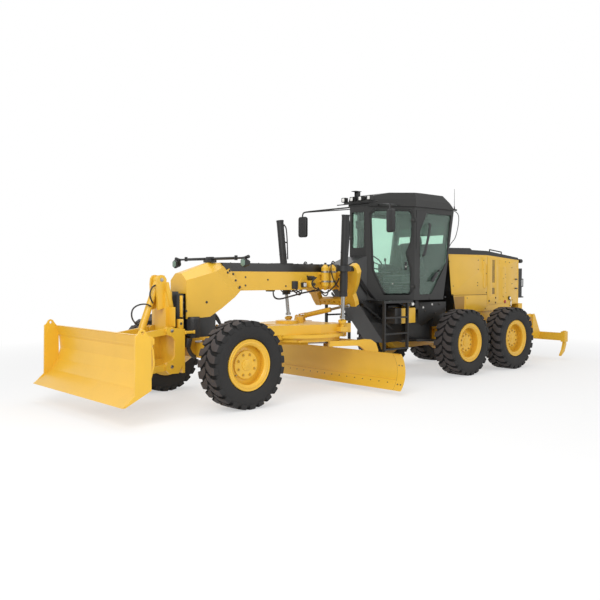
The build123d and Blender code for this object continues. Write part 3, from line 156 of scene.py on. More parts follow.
def paneFinish(name, colour, seeThrough):
    material = bpy.data.materials.new(name)
    material.use_nodes = True
    tree = material.node_tree
    shader = tree.nodes["Principled BSDF"]
    shader.inputs["Base Color"].default_value = (*colour, 1)
    shader.inputs["Roughness"].default_value = 0.03
    shader.inputs["IOR"].default_value = 1.3
    shader.inputs["Transmission Weight"].default_value = seeThrough
    smear = addNode(tree, "ShaderNodeTexNoise", Scale=3.0, Detail=3.0)
    where = addNode(tree, "ShaderNodeTexCoord")
    tree.links.new(where.outputs["Object"], smear.inputs["Vector"])
    tree.links.new(toRange(tree, smear.outputs["Fac"], 0.3, 0.8, 0.01, 0.05), shader.inputs["Roughness"])
    return material


def glowFinish(name, colour, strength):
    material = finish(name, colour, 0.15, tone=0.2)
    shader = material.node_tree.nodes["Principled BSDF"]
    shader.inputs["Emission Color"].default_value = (*colour, 1)
    shader.inputs["Emission Strength"].default_value = strength
    return material


yellowPaint = finish("yellowPaint", (0.79, 0.465, 0.034), 0.34, tone=0.06, dust=0.1, coat=0.12)
blackPaint = finish("blackPaint", (0.009, 0.009, 0.009), 0.5, tone=0.25, dust=0.04)
coverBlack = finish("coverBlack", (0.013, 0.013, 0.013), 0.55, tone=0.2, relief=0.15)
charcoalPaint = finish("charcoalPaint", (0.013, 0.013, 0.012), 0.5, tone=0.15)
doorPaint = finish("doorPaint", (0.012, 0.0125, 0.0115), 0.45, tone=0.15)
steelFinish = finish("steelFinish", (0.42, 0.4, 0.37), 0.35, metallic=0.9, dust=0.15, tone=0.3)
chromeFinish = finish("chromeFinish", (0.4, 0.4, 0.39), 0.22, metallic=1.0, tone=0.1, relief=0.01)
boltFinish = finish("boltFinish", (0.09, 0.085, 0.075), 0.4, metallic=0.6, tone=0.3)
rubberSide = finish("rubberSide", (0.013, 0.0125, 0.0125), 0.78, tone=0.25, dust=0.06, relief=0.25,
                    dustColour=(0.13, 0.12, 0.1))
rubberTop = finish("rubberTop", (0.058, 0.049, 0.048), 0.82, tone=0.3, dust=0.06, relief=0.35,
                   dustColour=(0.17, 0.15, 0.12))
# near-black rubber for the lug sides and the floor between lugs: painted shade of the tread grooves
rubberGrooveShade = finish("rubberGrooveShade", (0.004, 0.004, 0.004), 0.9, tone=0.2)
hoseRubber = finish("hoseRubber", (0.014, 0.014, 0.015), 0.45, tone=0.2, relief=0.1)
plasticBlack = finish("plasticBlack", (0.022, 0.022, 0.023), 0.5, tone=0.2, relief=0.2)
sealRubber = finish("sealRubber", (0.008, 0.008, 0.008), 0.6, tone=0.2)
lampLens = glowFinish("lampLens", (0.16, 0.25, 0.19), 0.03)
whiteLens = glowFinish("whiteLens", (0.85, 0.85, 0.82), 0.1)
redLens = glowFinish("redLens", (0.4, 0.02, 0.015), 0.05)
# brown-yellow for the wheel nuts: yellow paint darkened as painted shade round the nuts
nutPaintedShade = finish("nutPaintedShade", (0.44, 0.24, 0.022), 0.45, tone=0.2)
# dark yellow for thin strips in narrow gaps and seams: painted shade
gapShadeYellow = finish("gapShadeYellow", (0.16, 0.09, 0.01), 0.6, tone=0.1)
labelWhite = finish("labelWhite", (0.72, 0.72, 0.7), 0.4, tone=0.1)
mirrorGlass = finish("mirrorGlass", (0.75, 0.78, 0.8), 0.05, metallic=1.0, tone=0.02, relief=0.0)
paneGlass = paneFinish("paneGlass", (0.72, 0.93, 0.82), 0.93)
print("materials made")


def clothFinish(name, colour):
    material = finish(name, colour, 0.85, tone=0.2, relief=0.3)
    tree = material.node_tree
    shader = tree.nodes["Principled BSDF"]
    where = addNode(tree, "ShaderNodeTexCoord")
    weave = addNode(tree, "ShaderNodeTexVoronoi", Scale=320.0)
    tree.links.new(where.outputs["Object"], weave.inputs["Vector"])
    bump = addNode(tree, "ShaderNodeBump", Strength=0.35, Distance=0.002)
    tree.links.new(weave.outputs["Distance"], bump.inputs["Height"])
    tree.links.new(bump.outputs["Normal"], shader.inputs["Normal"])
    shader.inputs["Sheen Weight"].default_value = 0.35
    return material


seatCloth = clothFinish("seatCloth", (0.05, 0.05, 0.052))


def boxMask(tree, split, low, high, slope):
    # 1 inside a box of low and high corners; slope leans its X limits with height
    shifted = maths(tree, "MULTIPLY_ADD", split.outputs["Z"], -slope, split.outputs["X"])
    inside, blur = None, 0.0005
    for value, least, most in zip((shifted, split.outputs["Y"], split.outputs["Z"]), at(*low), at(*high)):
        for limit, near, beyond in ((least, 0.0, 1.0), (most, 1.0, 0.0)):
            if abs(limit) > far / 2:
                continue
            side = toRange(tree, value, limit - blur, limit + blur, near, beyond)
            inside = side if inside is None else maths(tree, "MULTIPLY", inside, side)
    return inside


def maskedPaint(name, masks):
    # the yellow paint, in another colour inside boxes: each mask is (colour, low corner, high corner, slope)
    material = finish(name, yellowTone, 0.34, tone=0.06, dust=0.1, coat=0.12)
    tree = material.node_tree
    where = addNode(tree, "ShaderNodeTexCoord")
    split = addNode(tree, "ShaderNodeSeparateXYZ")
    tree.links.new(where.outputs["Object"], split.inputs[0])
    colour = (*yellowTone, 1)
    for inner, low, high, slope in masks:
        colour = mixColour(tree, boxMask(tree, split, low, high, slope), colour, (*inner, 1))
    film = next(node for node in tree.nodes if node.type == "GROUP")
    tree.links.new(colour, film.inputs["Colour"])
    return material


far = 99.0  # leaves that side of a mask open
# the third tone is yellow darkened as painted shade
yellowTone, blackTone, paintedRecessShade = (0.79, 0.465, 0.034), (0.012, 0.012, 0.012), (0.36, 0.185, 0.010)
anyLow, anyHigh = (-far, -far, -far), (far, far, far)
framePaint = maskedPaint("framePaint", [(blackTone, (-far, -far, 1.892), (far, 0.166, far), 0),
                                        (blackTone, anyLow, (-2.72, far, far), 0),
                                                    (blackTone, (-0.27, -far, 0.93), (far, far, 1.6), 0),
                                                    (yellowTone, (-4.065, -0.624, 0.986), (-3.850, 0.624, 1.264), 0)])
rearPaint = maskedPaint("rearPaint", [(blackTone, (-5.36, -far, -far), anyHigh, 0)])
# hood side: the first mask paints the shade of a recess, in darker yellow, on the flat side ahead of the low panel;
# the second paints the sloping front face black
hoodPaint = maskedPaint("hoodPaint", [(paintedRecessShade, (-5.850, -far, 1.180), (-5.521, far, 1.437), 0),
                                                  (blackTone, (-5.820, -far, -far), anyHigh, 0.2232)])
towerPaint = maskedPaint("towerPaint", [(blackTone, (-far, -far, 1.085), (0.545, far, far), 0)])

nodeFinishes = [
    (yellowPaint, ["front_axle", "saddle", "cowl", "drawbar", "circle", "blade_carrier", "moldboard",
                   "drawbar_ball", "shift_ball", "shift_barrel", "dozer_lower_arms", "cutting_edge",
                   "dozer_upper_arms",
                   "dozer_blade", "dozer_barrel", "ripper_arms", "ripper_links", "ripper_beam", "ripper_barrels",
                   "tandem_axle",
                   "tip_barrel"] + [f"rim_{place}_{side}" for place in ("front", "mid", "rear") for side in "lr"]),
    (blackPaint, ["engine_block", "rear_guard", "steps", "lamps_mirrors", "lift_barrel_l", "lift_barrel_r", "lean_l",
                  "lean_r",
                  "knuckle_l", "knuckle_r"]),
    (coverBlack, ["hood_top"]),
    (charcoalPaint, ["cab_shell", "cab_roof"]),
    (chromeFinish, ["lift_rod_l", "lift_rod_r", "shift_rod", "dozer_rod", "tip_rod", "ripper_rods"]),
    (paneGlass, ["cab_glass"]),
    (doorPaint, ["door_l", "door_r"]),
    (framePaint, ["front_frame"]),
    (rearPaint, ["rear_frame"]),
    (hoodPaint, ["hood"]),
    (towerPaint, ["dozer_tower"]),
]
for material, names in nodeFinishes:
    for nodeName in names:
        data = nodes[nodeName].data
        if data.materials:
            for index in range(len(data.materials)):
                nodes[nodeName].material_slots[index].material = material
        else:
            data.materials.append(material)


# ---- shared shapes

def newPiece(name, bm, body, slotName, *materials, smoothAngle=32, doubles=0.00002):
    bmesh.ops.remove_doubles(bm, verts=bm.verts, dist=doubles)
    bmesh.ops.recalc_face_normals(bm, faces=bm.faces)
    mesh = bpy.data.meshes.new(name)
    bm.to_mesh(mesh)
    bm.free()
    for material in materials:
        mesh.materials.append(material)
    mesh.shade_smooth()
    mesh.set_sharp_from_angle(angle=math.radians(smoothAngle))
    piece = bpy.data.objects.new(name, mesh)
    bpy.context.scene.collection.objects.link(piece)
    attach(piece, body)
    return piece


def turnTo(direction, spot=(0, 0, 0)):
    return Matrix.Translation(spot) @ Vector(direction).to_track_quat("Z", "Y").to_matrix().to_4x4()


def softEdges(bm, edges, width, segments=2):
    if width > 0:
        bmesh.ops.bevel(bm, geom=edges, offset=width, offset_type="OFFSET", segments=segments, profile=0.5,
                        affect="EDGES",
                        material=-1, clamp_overlap=True)


def paintFaces(verts, material):
    faces = {face for vert in verts for face in vert.link_faces}
    for face in faces:
        face.material_index = material
    return faces


def connected(verts):
    # every vertex that hangs together with these
    found, growing = set(verts), list(verts)
    while growing:
        vert = growing.pop()
        for edge in vert.link_edges:
            other = edge.other_vert(vert)
            if other not in found:
                found.add(other)
                growing.append(other)
    return list(found)


def addBox(bm, low, high, bevel=0.004, segments=2, turn=None, material=0):
    low, high = Vector(low), Vector(high)
    made = bmesh.ops.create_cube(bm, size=1)["verts"]
    bmesh.ops.scale(bm, vec=high - low, verts=made)
    bmesh.ops.translate(bm, vec=(low + high) / 2, verts=made)
    if turn is not None:
        bmesh.ops.transform(bm, matrix=turn, verts=made)
    paintFaces(made, material)
    softEdges(bm, list({edge for vert in made for edge in vert.link_edges}), bevel, segments)


def addRod(bm, start, end, radius, endRadius=None, sides=20, bevel=0.0, material=0):
    # a closed round bar, or a cone, between two points
    start, end = Vector(start), Vector(end)
    line = end - start
    made = bmesh.ops.create_cone(bm, cap_ends=True, segments=sides, radius1=radius,
                                 radius2=radius if endRadius is None else endRadius, depth=line.length,
                                 matrix=turnTo(line, (start + end) / 2))["verts"]
    faces = paintFaces(made, material)
    if bevel:
        softEdges(bm, [edge for face in faces if len(face.verts) > 4 for edge in face.edges], bevel)


def roundedLoop(points, radius, segments=5):
    # the points of a closed outline, its corners rounded
    loop = bmesh.new()
    loop.faces.new([loop.verts.new((u, v, 0)) for u, v in points])
    if radius:
        bmesh.ops.bevel(loop, geom=loop.verts[:], offset=radius, offset_type="OFFSET", segments=segments, profile=0.5,
                        affect="VERTICES", material=-1, clamp_overlap=True)
    loop.faces.ensure_lookup_table()
    rounded = [vert.co.copy() for vert in loop.faces[0].verts]
    loop.free()
    return rounded


def thicken(bm, sheet, thick, turn, bevel, segments, material):
    # gives a flat sheet a thickness along Z, rounds its upper edges, puts it in place and adds it to the piece
    low = set(sheet.verts)
    raised = bmesh.ops.extrude_face_region(sheet, geom=sheet.faces[:], use_keep_orig=True)["geom"]
    top = {item for item in raised if isinstance(item, bmesh.types.BMVert)}
    bmesh.ops.translate(sheet, vec=(0, 0, thick), verts=list(top))
    bmesh.ops.recalc_face_normals(sheet, faces=sheet.faces)
    sheet.normal_update()
    rim = [edge for edge in sheet.edges if edge.verts[0] in top and edge.verts[1] in top and
           len(edge.link_faces) == 2 and edge.calc_face_angle(0) > 0.7]
    softEdges(sheet, rim, bevel, segments)
    bmesh.ops.transform(sheet, matrix=turn, verts=sheet.verts)
    for face in sheet.faces:
        face.material_index = material
    joinTo(bm, sheet)


def joinTo(bm, other):
    # adds another mesh to the piece
    mesh = bpy.data.meshes.new("part")
    other.normal_update()
    other.to_mesh(mesh)
    other.free()
    bm.from_mesh(mesh)
    bpy.data.meshes.remove(mesh)


def addPlate(bm, outline, thick, turn, bevel=0.003, segments=2, corner=0.0, cornerSegments=4, material=0):
    sheet = bmesh.new()
    sheet.faces.new([sheet.verts.new(co) for co in roundedLoop(outline, corner, cornerSegments)])
    thicken(bm, sheet, thick, turn, bevel, segments, material)


def addPanel(bm, outline, holes, thick, turn, bevel=0.002, segments=2, material=0):
    # a flat sheet with openings: each loop is (corner points, corner radius)
    sheet = bmesh.new()
    for points, radius in [outline] + list(holes):
        verts = [sheet.verts.new(co) for co in roundedLoop(points, radius)]
        for first, second in zip(verts, verts[1:] + verts[:1]):
            sheet.edges.new((first, second))
    bmesh.ops.triangle_fill(sheet, edges=sheet.edges[:], use_beauty=True)
    thicken(bm, sheet, thick, turn, bevel, segments, material)


def addTurned(bm, profile, spot, axis, steps=48, material=0):
    # profile is pairs of radius and distance along the axis, joined in a loop
    verts = [bm.verts.new((radius, 0, reach)) for radius, reach in profile]
    edges = [bm.edges.new((verts[i], verts[(i + 1) % len(verts)])) for i in range(len(verts))]
    bmesh.ops.spin(bm, geom=verts + edges, axis=(0, 0, 1), cent=(0, 0, 0), angle=math.tau, steps=steps,
                   use_merge=True)
    made = connected(verts)
    paintFaces(made, material)
    bmesh.ops.transform(bm, matrix=turnTo(axis, spot), verts=made)


def addBolt(bm, spot, axis, size=0.02, height=0.012, washer=True, material=0):
    axis = Vector(axis).normalized()
    spot = Vector(spot)
    if washer:
        addRod(bm, spot, spot + axis * height * 0.25, size * 0.75, sides=18, material=material)
    addRod(bm, spot, spot + axis * height, size * 0.58, sides=6, bevel=size * 0.06, material=material)


def addHose(bm, points, radius, sides=12, material=0):
    # a held hose along a smooth line through its points, closed at both ends
    curve = bpy.data.curves.new("hoseLine", "CURVE")
    curve.dimensions = "3D"
    curve.bevel_depth = radius
    curve.bevel_resolution = max(1, sides // 4 - 1)
    curve.resolution_u = 8
    curve.use_fill_caps = True
    spline = curve.splines.new("NURBS")
    spline.points.add(len(points) - 1)
    for spot, point in zip(spline.points, points):
        spot.co = (*point, 1)
    spline.use_endpoint_u = True
    spline.order_u = min(4, len(points))
    holder = bpy.data.objects.new("hoseLine", curve)
    mesh = bpy.data.meshes.new_from_object(holder)
    for polygon in mesh.polygons:
        polygon.material_index = material
    bm.from_mesh(mesh)
    bpy.data.objects.remove(holder)
    bpy.data.curves.remove(curve)
    bpy.data.meshes.remove(mesh)


print("shared shapes ready")

# ---- wheels

tyreShape = {"radius": 0.610, "base": 0.583, "half": 0.200, "pitches": 24, "steps": 96,
             "beadSeat": 0.313, "flange": 0.358, "root": 0.012, "crown": 0.003, "crownHalf": 0.17}


def wheelCentre(place, side):
    low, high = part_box(f"tyre_{place}_{side}")
    return (low + high) / 2


def ontoTyre(verts, settings):
    # bends lugs drawn flat (X round the tyre, Y across it, Z above the tread) onto the wheel, axle along Y
    for vert in verts:
        along, across, up = vert.co
        reach = settings["base"] + up - settings["crown"] * (across / settings["crownHalf"]) ** 2
        turn = along / settings["radius"]
        vert.co = (reach * math.sin(turn), across, reach * math.cos(turn))


def treadMesh(settings):
    bm = bmesh.new()
    base, half, bead = settings["base"], settings["half"], settings["beadSeat"]
    side = [(bead, 0.150), (settings["flange"], 0.1512), (0.364, 0.168), (0.380, 0.184), (0.392, 0.187),
            (0.398, 0.1905),
            (0.425, 0.196), (0.470, half), (0.515, 0.1985), (0.548, 0.190), (0.566, 0.178), (0.577, 0.160),
            (base, 0.120)]
    loop = side + [(base, 0.0)] + [(r, -y) for r, y in reversed(side)]
    addTurned(bm, loop, (0, 0, 0), (0, 1, 0), settings["steps"])
    pitch = math.tau * settings["radius"] / settings["pitches"]
    root = settings["root"]
    tall = settings["radius"] - base + root
    for way, start in ((1, 0.0), (-1, pitch / 2)):
        lugs = bmesh.new()
        plan = [(-0.106, 0.004), (-0.016, 0.004), (0.012, 0.036), (0.056, 0.078), (0.074, 0.112), (0.078, 0.184),
                (-0.024, 0.184), (-0.030, 0.124),
                (-0.060, 0.080), (-0.100, 0.042)]
        addPlate(lugs, plan, tall, Matrix.Translation((0, 0, -root)), bevel=0.005, corner=0.006, cornerSegments=2)
        for vert in lugs.verts:
            vert.co.x += start
        ontoTyre(lugs.verts, settings)
        wrap = [(0.540, 0.186), (0.572, 0.150), (0.604, 0.150), (0.606, 0.178), (0.600, 0.192), (0.578, 0.1993),
                (0.532, 0.1998)]
        spread = 0.051 / settings["radius"]
        verts = [lugs.verts.new((0, y, r)) for r, y in wrap]
        foot = lugs.faces.new(verts)
        bmesh.ops.spin(lugs, geom=[foot], axis=(0, 1, 0), cent=(0, 0, 0), angle=2 * spread, steps=3)
        made = connected(verts)
        middle = (start + 0.027) / settings["radius"]
        bmesh.ops.rotate(lugs, cent=(0, 0, 0), matrix=Matrix.Rotation(middle - spread, 3, "Y"), verts=made)
        ends = [edge for edge in {edge for vert in made for edge in vert.link_edges} if len(edge.link_faces) == 2 and
                edge.link_faces[0].normal.length and abs(edge.calc_face_angle(0)) > 0.9]
        softEdges(lugs, ends, 0.008, 3)
        if way < 0:
            bmesh.ops.scale(lugs, vec=(1, -1, 1), verts=lugs.verts)
        bmesh.ops.spin(lugs, geom=lugs.verts[:] + lugs.edges[:] + lugs.faces[:], axis=(0, 1, 0), cent=(0, 0, 0),
                       angle=math.tau * (settings["pitches"] - 1) / settings["pitches"],
                       steps=settings["pitches"] - 1,
                       use_duplicate=True)
        joinTo(bm, lugs)
    bmesh.ops.recalc_face_normals(bm, faces=bm.faces)
    # lug tops take the second finish; lug sides and the floor between lugs take the third, painted shade of the
    # grooves
    for face in bm.faces:
        middle = face.calc_center_median()
        reach = math.hypot(middle.x, middle.z)
        if reach > settings["radius"] - 0.009 and abs(face.normal.y) < 0.5:
            face.material_index = 1
        elif reach > settings["base"] - 0.014 and abs(face.normal.y) < 0.6:
            face.material_index = 2
    return bm


treadSource = bpy.data.meshes.new("tread")
treadMesh(tyreShape).to_mesh(treadSource)
for place in ("front", "mid", "rear"):
    for side, way in sides:
        tyre = bmesh.new()
        tyre.from_mesh(treadSource)
        if way < 0:
            bmesh.ops.scale(tyre, vec=(1, -1, 1), verts=tyre.verts)
        bmesh.ops.rotate(tyre, cent=(0, 0, 0), matrix=Matrix.Rotation(0.11 * len(place), 3, "Y"), verts=tyre.verts)
        bmesh.ops.translate(tyre, vec=wheelCentre(place, side), verts=tyre.verts)
        piece = newPiece(f"tyreTread_{place}_{side}", tyre, f"wheel_{place}_{side}", "tyre", rubberSide, rubberTop,
                         rubberGrooveShade, smoothAngle=38)
        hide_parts(f"tyre_{place}_{side}")
bpy.data.meshes.remove(treadSource)

rimTrim = {"flange": 0.355, "face": 0.172, "opening": 0.268, "nutCircle": 0.145, "frontNuts": 8, "rearNuts": 10,
           "frontDisc": 0.096, "rearDisc": 0.076, "discRadius": (0.196, 0.182), "discThick": 0.014,
           "valveAngle": -0.62}


def wheelTrim(place, side, way, settings):
    bm = bmesh.new()
    centre = wheelCentre(place, side)
    out = Vector((0, way, 0))
    face, flange, opening = settings["face"], settings["flange"], settings["opening"]
    lip = [(flange - 0.004, face - 0.004), (flange - 0.002, face + 0.004), (flange - 0.008, face + 0.010),
           (flange - 0.018, face + 0.008),
           (flange - 0.024, face - 0.006), (flange - 0.029, face - 0.013), (flange - 0.036, face - 0.012),
           (flange - 0.041, face + 0.004),
           (flange - 0.050, face + 0.006), (opening + 0.030, face - 0.002), (opening + 0.012, face - 0.010),
           (opening + 0.002, face - 0.022),
           (opening, face - 0.040), (opening + 0.018, face - 0.090), (opening + 0.035, face - 0.090)]
    addTurned(bm, lip, centre, out, 72)
    front = place == "front"
    disc = settings["frontDisc"] if front else settings["rearDisc"]
    wide = settings["discRadius"][0 if front else 1]
    thick, well = settings["discThick"], 0.296
    dish = [(0.030, disc), (wide - 0.008, disc), (wide, disc - 0.006), (wide + 0.004, disc - 0.022),
            (0.262, disc - 0.036),
            (well + 0.001, disc - 0.040), (well + 0.001, disc - 0.040 - thick), (0.030, disc - thick)]
    addTurned(bm, dish, centre, out, 72)
    addRod(bm, centre + out * (disc - 0.004), centre + out * (disc + 0.010), 0.078, 0.074, sides=48, bevel=0.004)
    addRod(bm, centre + out * (disc + 0.008), centre + out * (disc + 0.015), 0.038, sides=32, bevel=0.003)
    count = settings["frontNuts"] if front else settings["rearNuts"]
    for i in range(count):
        angle = math.tau * (i + 0.5) / count
        spot = centre + Vector((settings["nutCircle"] * math.cos(angle), 0, settings["nutCircle"] * math.sin(angle)))
        ring = [(0.016, disc - 0.001), (0.026, disc - 0.001), (0.023, disc + 0.005), (0.016, disc + 0.004)]
        addTurned(bm, ring, spot, out, 20)
        # the nuts take the brown-yellow painted shade
        addBolt(bm, spot + out * (disc + 0.0002), out, size=0.029, height=0.014, material=3)
    angle = settings["valveAngle"]
    aim = Vector((math.cos(angle), 0, math.sin(angle)))
    root = centre + aim * 0.240 + out * (disc - 0.034)
    addRod(bm, root, root + out * 0.055 - aim * 0.02, 0.008, sides=12, bevel=0.001, material=2)
    addRod(bm, root - out * 0.02, root + out * 0.004, 0.013, sides=16, bevel=0.002, material=1)
    newPiece(f"wheelTrim_{place}_{side}", bm, f"wheel_{place}_{side}", "yellow", yellowPaint, boltFinish, steelFinish,
             nutPaintedShade)


for place in ("front", "mid", "rear"):
    for side, way in sides:
        wheelTrim(place, side, way, rimTrim)
print("tyres and wheels dressed")

# ---- cab doors and interior

doorShape = {"corners": [(0.070, 2.930), (0.150, 3.005), (0.800, 3.005), (0.850, 2.930), (0.850, 2.480),
                         (0.742, 2.250),
                         (0.828, 1.930), (0.836, 1.560), (0.790, 1.500), (0.330, 1.500), (0.120, 1.930)],
             "opening": [(0.094, 2.930), (0.160, 2.984), (0.790, 2.984), (0.829, 2.912), (0.829, 2.488),
                         (0.722, 2.250),
                         (0.808, 1.926), (0.815, 1.572), (0.778, 1.521), (0.344, 1.521), (0.141, 1.936)],
             "round": 0.07, "openingRound": 0.06, "thick": 0.046, "glass": 0.006, "hinges": (1.640, 2.820)}


def alongWall(start, end, way):
    # X runs back along a side wall from its start, Y up, Z out
    run = (end - start).normalized()
    out = Vector((-run.y, run.x, 0)) * -way
    return Matrix.Translation(start) @ Matrix((run, Vector((0, 0, 1)), out)).transposed().to_4x4()


def makeDoor(side, way, settings):
    place = alongWall(at(-3.375, way * 0.200, 0), at(-4.100, way * 0.700, 0), way)
    thick = settings["thick"]
    bm = bmesh.new()
    back = place @ Matrix.Translation((0, 0, -thick))
    addPanel(bm, (settings["corners"], settings["round"]), [(settings["opening"], settings["openingRound"])],
             thick + 0.004, back,
             bevel=0.010, segments=3)
    grown = [(u + (0.008 if u < 0.45 else -0.008), v + (0.008 if v < 2.2 else -0.008)) for u,
             v in settings["opening"]]
    addPanel(bm, (settings["opening"], settings["openingRound"]), [(grown, settings["openingRound"])], 0.012,
             place @ Matrix.Translation((0, 0, -0.022)), bevel=0.003, material=1)
    for z in settings["hinges"]:
        addBox(bm, (0.800, z - 0.030, 0.0065), (0.893, z + 0.030, 0.018), bevel=0.003, turn=place)
        addRod(bm, place @ Vector((0.893, z - 0.034, 0.018)), place @ Vector((0.893, z + 0.034, 0.018)), 0.0145,
               bevel=0.002)
        for u in (0.820, 0.850):
            addBolt(bm, place @ Vector((u, z, 0.018)), place.to_3x3() @ Vector((0, 0, 1)), 0.012, 0.008, material=2)
    newPiece(f"doorFrame_{side}", bm, f"door_{side}", "door", doorPaint, sealRubber, boltFinish)
    glass = bmesh.new()
    addPlate(glass, settings["opening"], settings["glass"], place @ Matrix.Translation((0, 0, -0.019)), bevel=0.0,
             corner=settings["openingRound"], cornerSegments=5)
    newPiece(f"doorPane_{side}", glass, f"door_{side}", "pane", paneGlass)
    trim = bmesh.new()
    addRod(trim, place @ Vector((0.490, 1.690, -0.045)), place @ Vector((0.490, 1.6901, -0.012)), 0.012, material=1)
    addBox(trim, (0.700, 1.930, 0.001), (0.735, 2.080, 0.016), bevel=0.006, turn=place)
    addRod(trim, place @ Vector((0.718, 1.995, 0.012)), place @ Vector((0.718, 1.995, 0.030)), 0.014, bevel=0.002,
           material=1)
    addHose(trim, [place @ Vector(p) for p in ((0.715, 1.62, -0.048), (0.715, 1.62, -0.085), (0.715, 1.70, -0.09),
                                               (0.715, 2.02, -0.09), (0.715, 2.08, -0.085), (0.715, 2.08, -0.048))],
            0.011)
    newPiece(f"doorFittings_{side}", trim, f"door_{side}", "door", plasticBlack, steelFinish)
    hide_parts(f"door_{side}")


for side, way in sides:
    makeDoor(side, way, doorShape)


def cushion(name, low, high, turn, bulge, channels=()):
    # a stuffed pad: its faces are divided, swell towards the middle and pull in along the sewn channels
    bm = bmesh.new()
    made = bmesh.ops.create_cube(bm, size=1)["verts"]
    low, high = Vector(low), Vector(high)
    bmesh.ops.scale(bm, vec=high - low, verts=made)
    bmesh.ops.translate(bm, vec=(low + high) / 2, verts=made)
    softEdges(bm, bm.edges[:], 0.030, 4)
    bmesh.ops.subdivide_edges(bm, edges=[e for e in bm.edges if e.calc_length() > 0.06], cuts=11, use_grid_fill=True)
    middle, half = (low + high) / 2, (high - low) / 2
    for vert in bm.verts:
        u = (vert.co.x - middle.x) / half.x
        v = (vert.co.y - middle.y) / half.y
        w = (vert.co.z - middle.z) / half.z
        crown = max(0.0, 1 - u * u) * max(0.0, 1 - v * v)
        dent = sum(math.exp(-((vert.co.x - c) / 0.010) ** 2) for c in channels)
        if abs(w) > 0.8:
            vert.co.z += math.copysign(bulge * crown - 0.010 * dent * crown ** 0.3 if crown > 0 else 0, w)
        pull = 1 - 0.02 * (abs(u) * abs(v)) ** 2
        vert.co.x = middle.x + (vert.co.x - middle.x) * pull
        vert.co.y = middle.y + (vert.co.y - middle.y) * pull
    bmesh.ops.transform(bm, matrix=turn, verts=bm.verts)
    piece = newPiece(name, bm, "front", "cloth", seatCloth, smoothAngle=80)
    return piece


seatBase = cushion("seatCushion", (-0.25, -0.24, -0.07), (0.25, 0.24, 0.07),
                   Matrix.Translation(at(-4.545, 0, 1.765)) @ Matrix.Rotation(-0.05, 4, "Y"), 0.014, (-0.09, 0.09))
cushion("seatBack", (-0.33, -0.235, -0.050), (0.33, 0.235, 0.050),
        Matrix.Translation(at(-4.870, 0, 2.135)) @ Matrix.Rotation(math.radians(90 - 14), 4, "Y").inverted(), 0.014,
        (-0.12, 0.10))
cushion("seatHead", (-0.085, -0.130, -0.035), (0.085, 0.130, 0.035),
        Matrix.Translation(at(-4.975, 0, 2.505)) @ Matrix.Rotation(math.radians(90 - 14), 4, "Y").inverted(), 0.008)
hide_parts("seat")

seatParts = bmesh.new()
addBox(seatParts, at(-4.720, -0.170, 1.452), at(-4.380, 0.170, 1.560), 0.012)
for step in range(4):
    addBox(seatParts, at(-4.710 + 0.004 * step, -0.155, 1.562 + 0.030 * step), at(-4.390 - 0.004 * step, 0.155,
                                                                                  1.586 + 0.030 * step), 0.010)
addBox(seatParts, at(-4.780, -0.235, 1.672), at(-4.300, 0.235, 1.700), 0.010)
for way in (-1, 1):
    addBox(seatParts, at(-4.780, way * 0.250, 1.900), at(-4.400, way * 0.325, 1.960), 0.016)
    addBox(seatParts, at(-4.690, way * 0.262, 1.640), at(-4.600, way * 0.312, 1.905), 0.010)
    addBox(seatParts, at(-4.520, way * 0.245, 1.955), at(-4.385, way * 0.328, 2.025), 0.020)
    addRod(seatParts, at(-4.435, way * 0.288, 2.020), at(-4.425, way * 0.288, 2.120), 0.011, bevel=0.002)
    addRod(seatParts, at(-4.425, way * 0.288, 2.105), at(-4.418, way * 0.288, 2.165), 0.019, 0.024, bevel=0.006)
    addRod(seatParts, at(-4.930, way * 0.070, 2.430), at(-4.950, way * 0.070, 2.490), 0.008, material=1)
addBox(seatParts, at(-5.020, -0.180, 2.000), at(-4.955, 0.180, 2.300), 0.015)
newPiece("seatFrame", seatParts, "front", "black", plasticBlack, steelFinish)

cabFit = bmesh.new()
addBox(cabFit, at(-3.600, -0.110, 1.452), at(-3.470, 0.110, 1.980), 0.030, 3)
addBox(cabFit, at(-3.640, -0.170, 1.960), at(-3.450, 0.170, 2.110), 0.030, 3)
addBox(cabFit, at(-3.655, -0.110, 1.990), at(-3.636, 0.110, 2.090), 0.006, material=1)
addRod(cabFit, at(-3.640, 0, 1.930), at(-3.780, 0, 2.060), 0.026, bevel=0.003)
wheelTurn = turnTo((-0.72, 0, 0.69), at(-3.800, 0, 2.075))
ring = [(0.165 + 0.013 * math.cos(a), 0.013 * math.sin(a)) for a in [math.tau * i / 10 for i in range(10)]]
addTurned(cabFit, ring, at(-3.800, 0, 2.075), (-0.72, 0, 0.69), 36)
for angle in (math.pi / 2, math.pi * 7 / 6, math.pi * 11 / 6):
    addRod(cabFit, wheelTurn @ Vector((0, 0, 0)), wheelTurn @ Vector((0.160 * math.cos(angle),
                                                                      0.160 * math.sin(angle), 0)), 0.010)
addBox(cabFit, at(-4.300, -0.640, 1.452), at(-4.880, -0.440, 1.900), 0.020)
addBox(cabFit, at(-4.600, -0.640, 1.900), at(-4.860, -0.460, 2.060), 0.020)
addBox(cabFit, at(-3.520, -0.150, 2.680), at(-3.470, 0.150, 2.820), 0.012)
addBox(cabFit, at(-3.560, -0.060, 1.452), at(-3.760, 0.060, 1.500), 0.010)
for way in (-1, 1):
    addBox(cabFit, at(-3.690, way * 0.060 - 0.045, 1.462), at(-3.810, way * 0.060 + 0.045, 1.476), 0.004, material=1)
newPiece("cabControls", cabFit, "front", "black", plasticBlack, blackPaint)
print("doors, seat and controls made")

# ---- engine hood

hoodPanels = {"proud": 0.006, "bevel": 0.003, "frontHalf": 0.515, "seamHalf": 0.500, "rearHalf": 0.450,
              "front": -5.235, "seam": -6.620, "rear": -7.850}


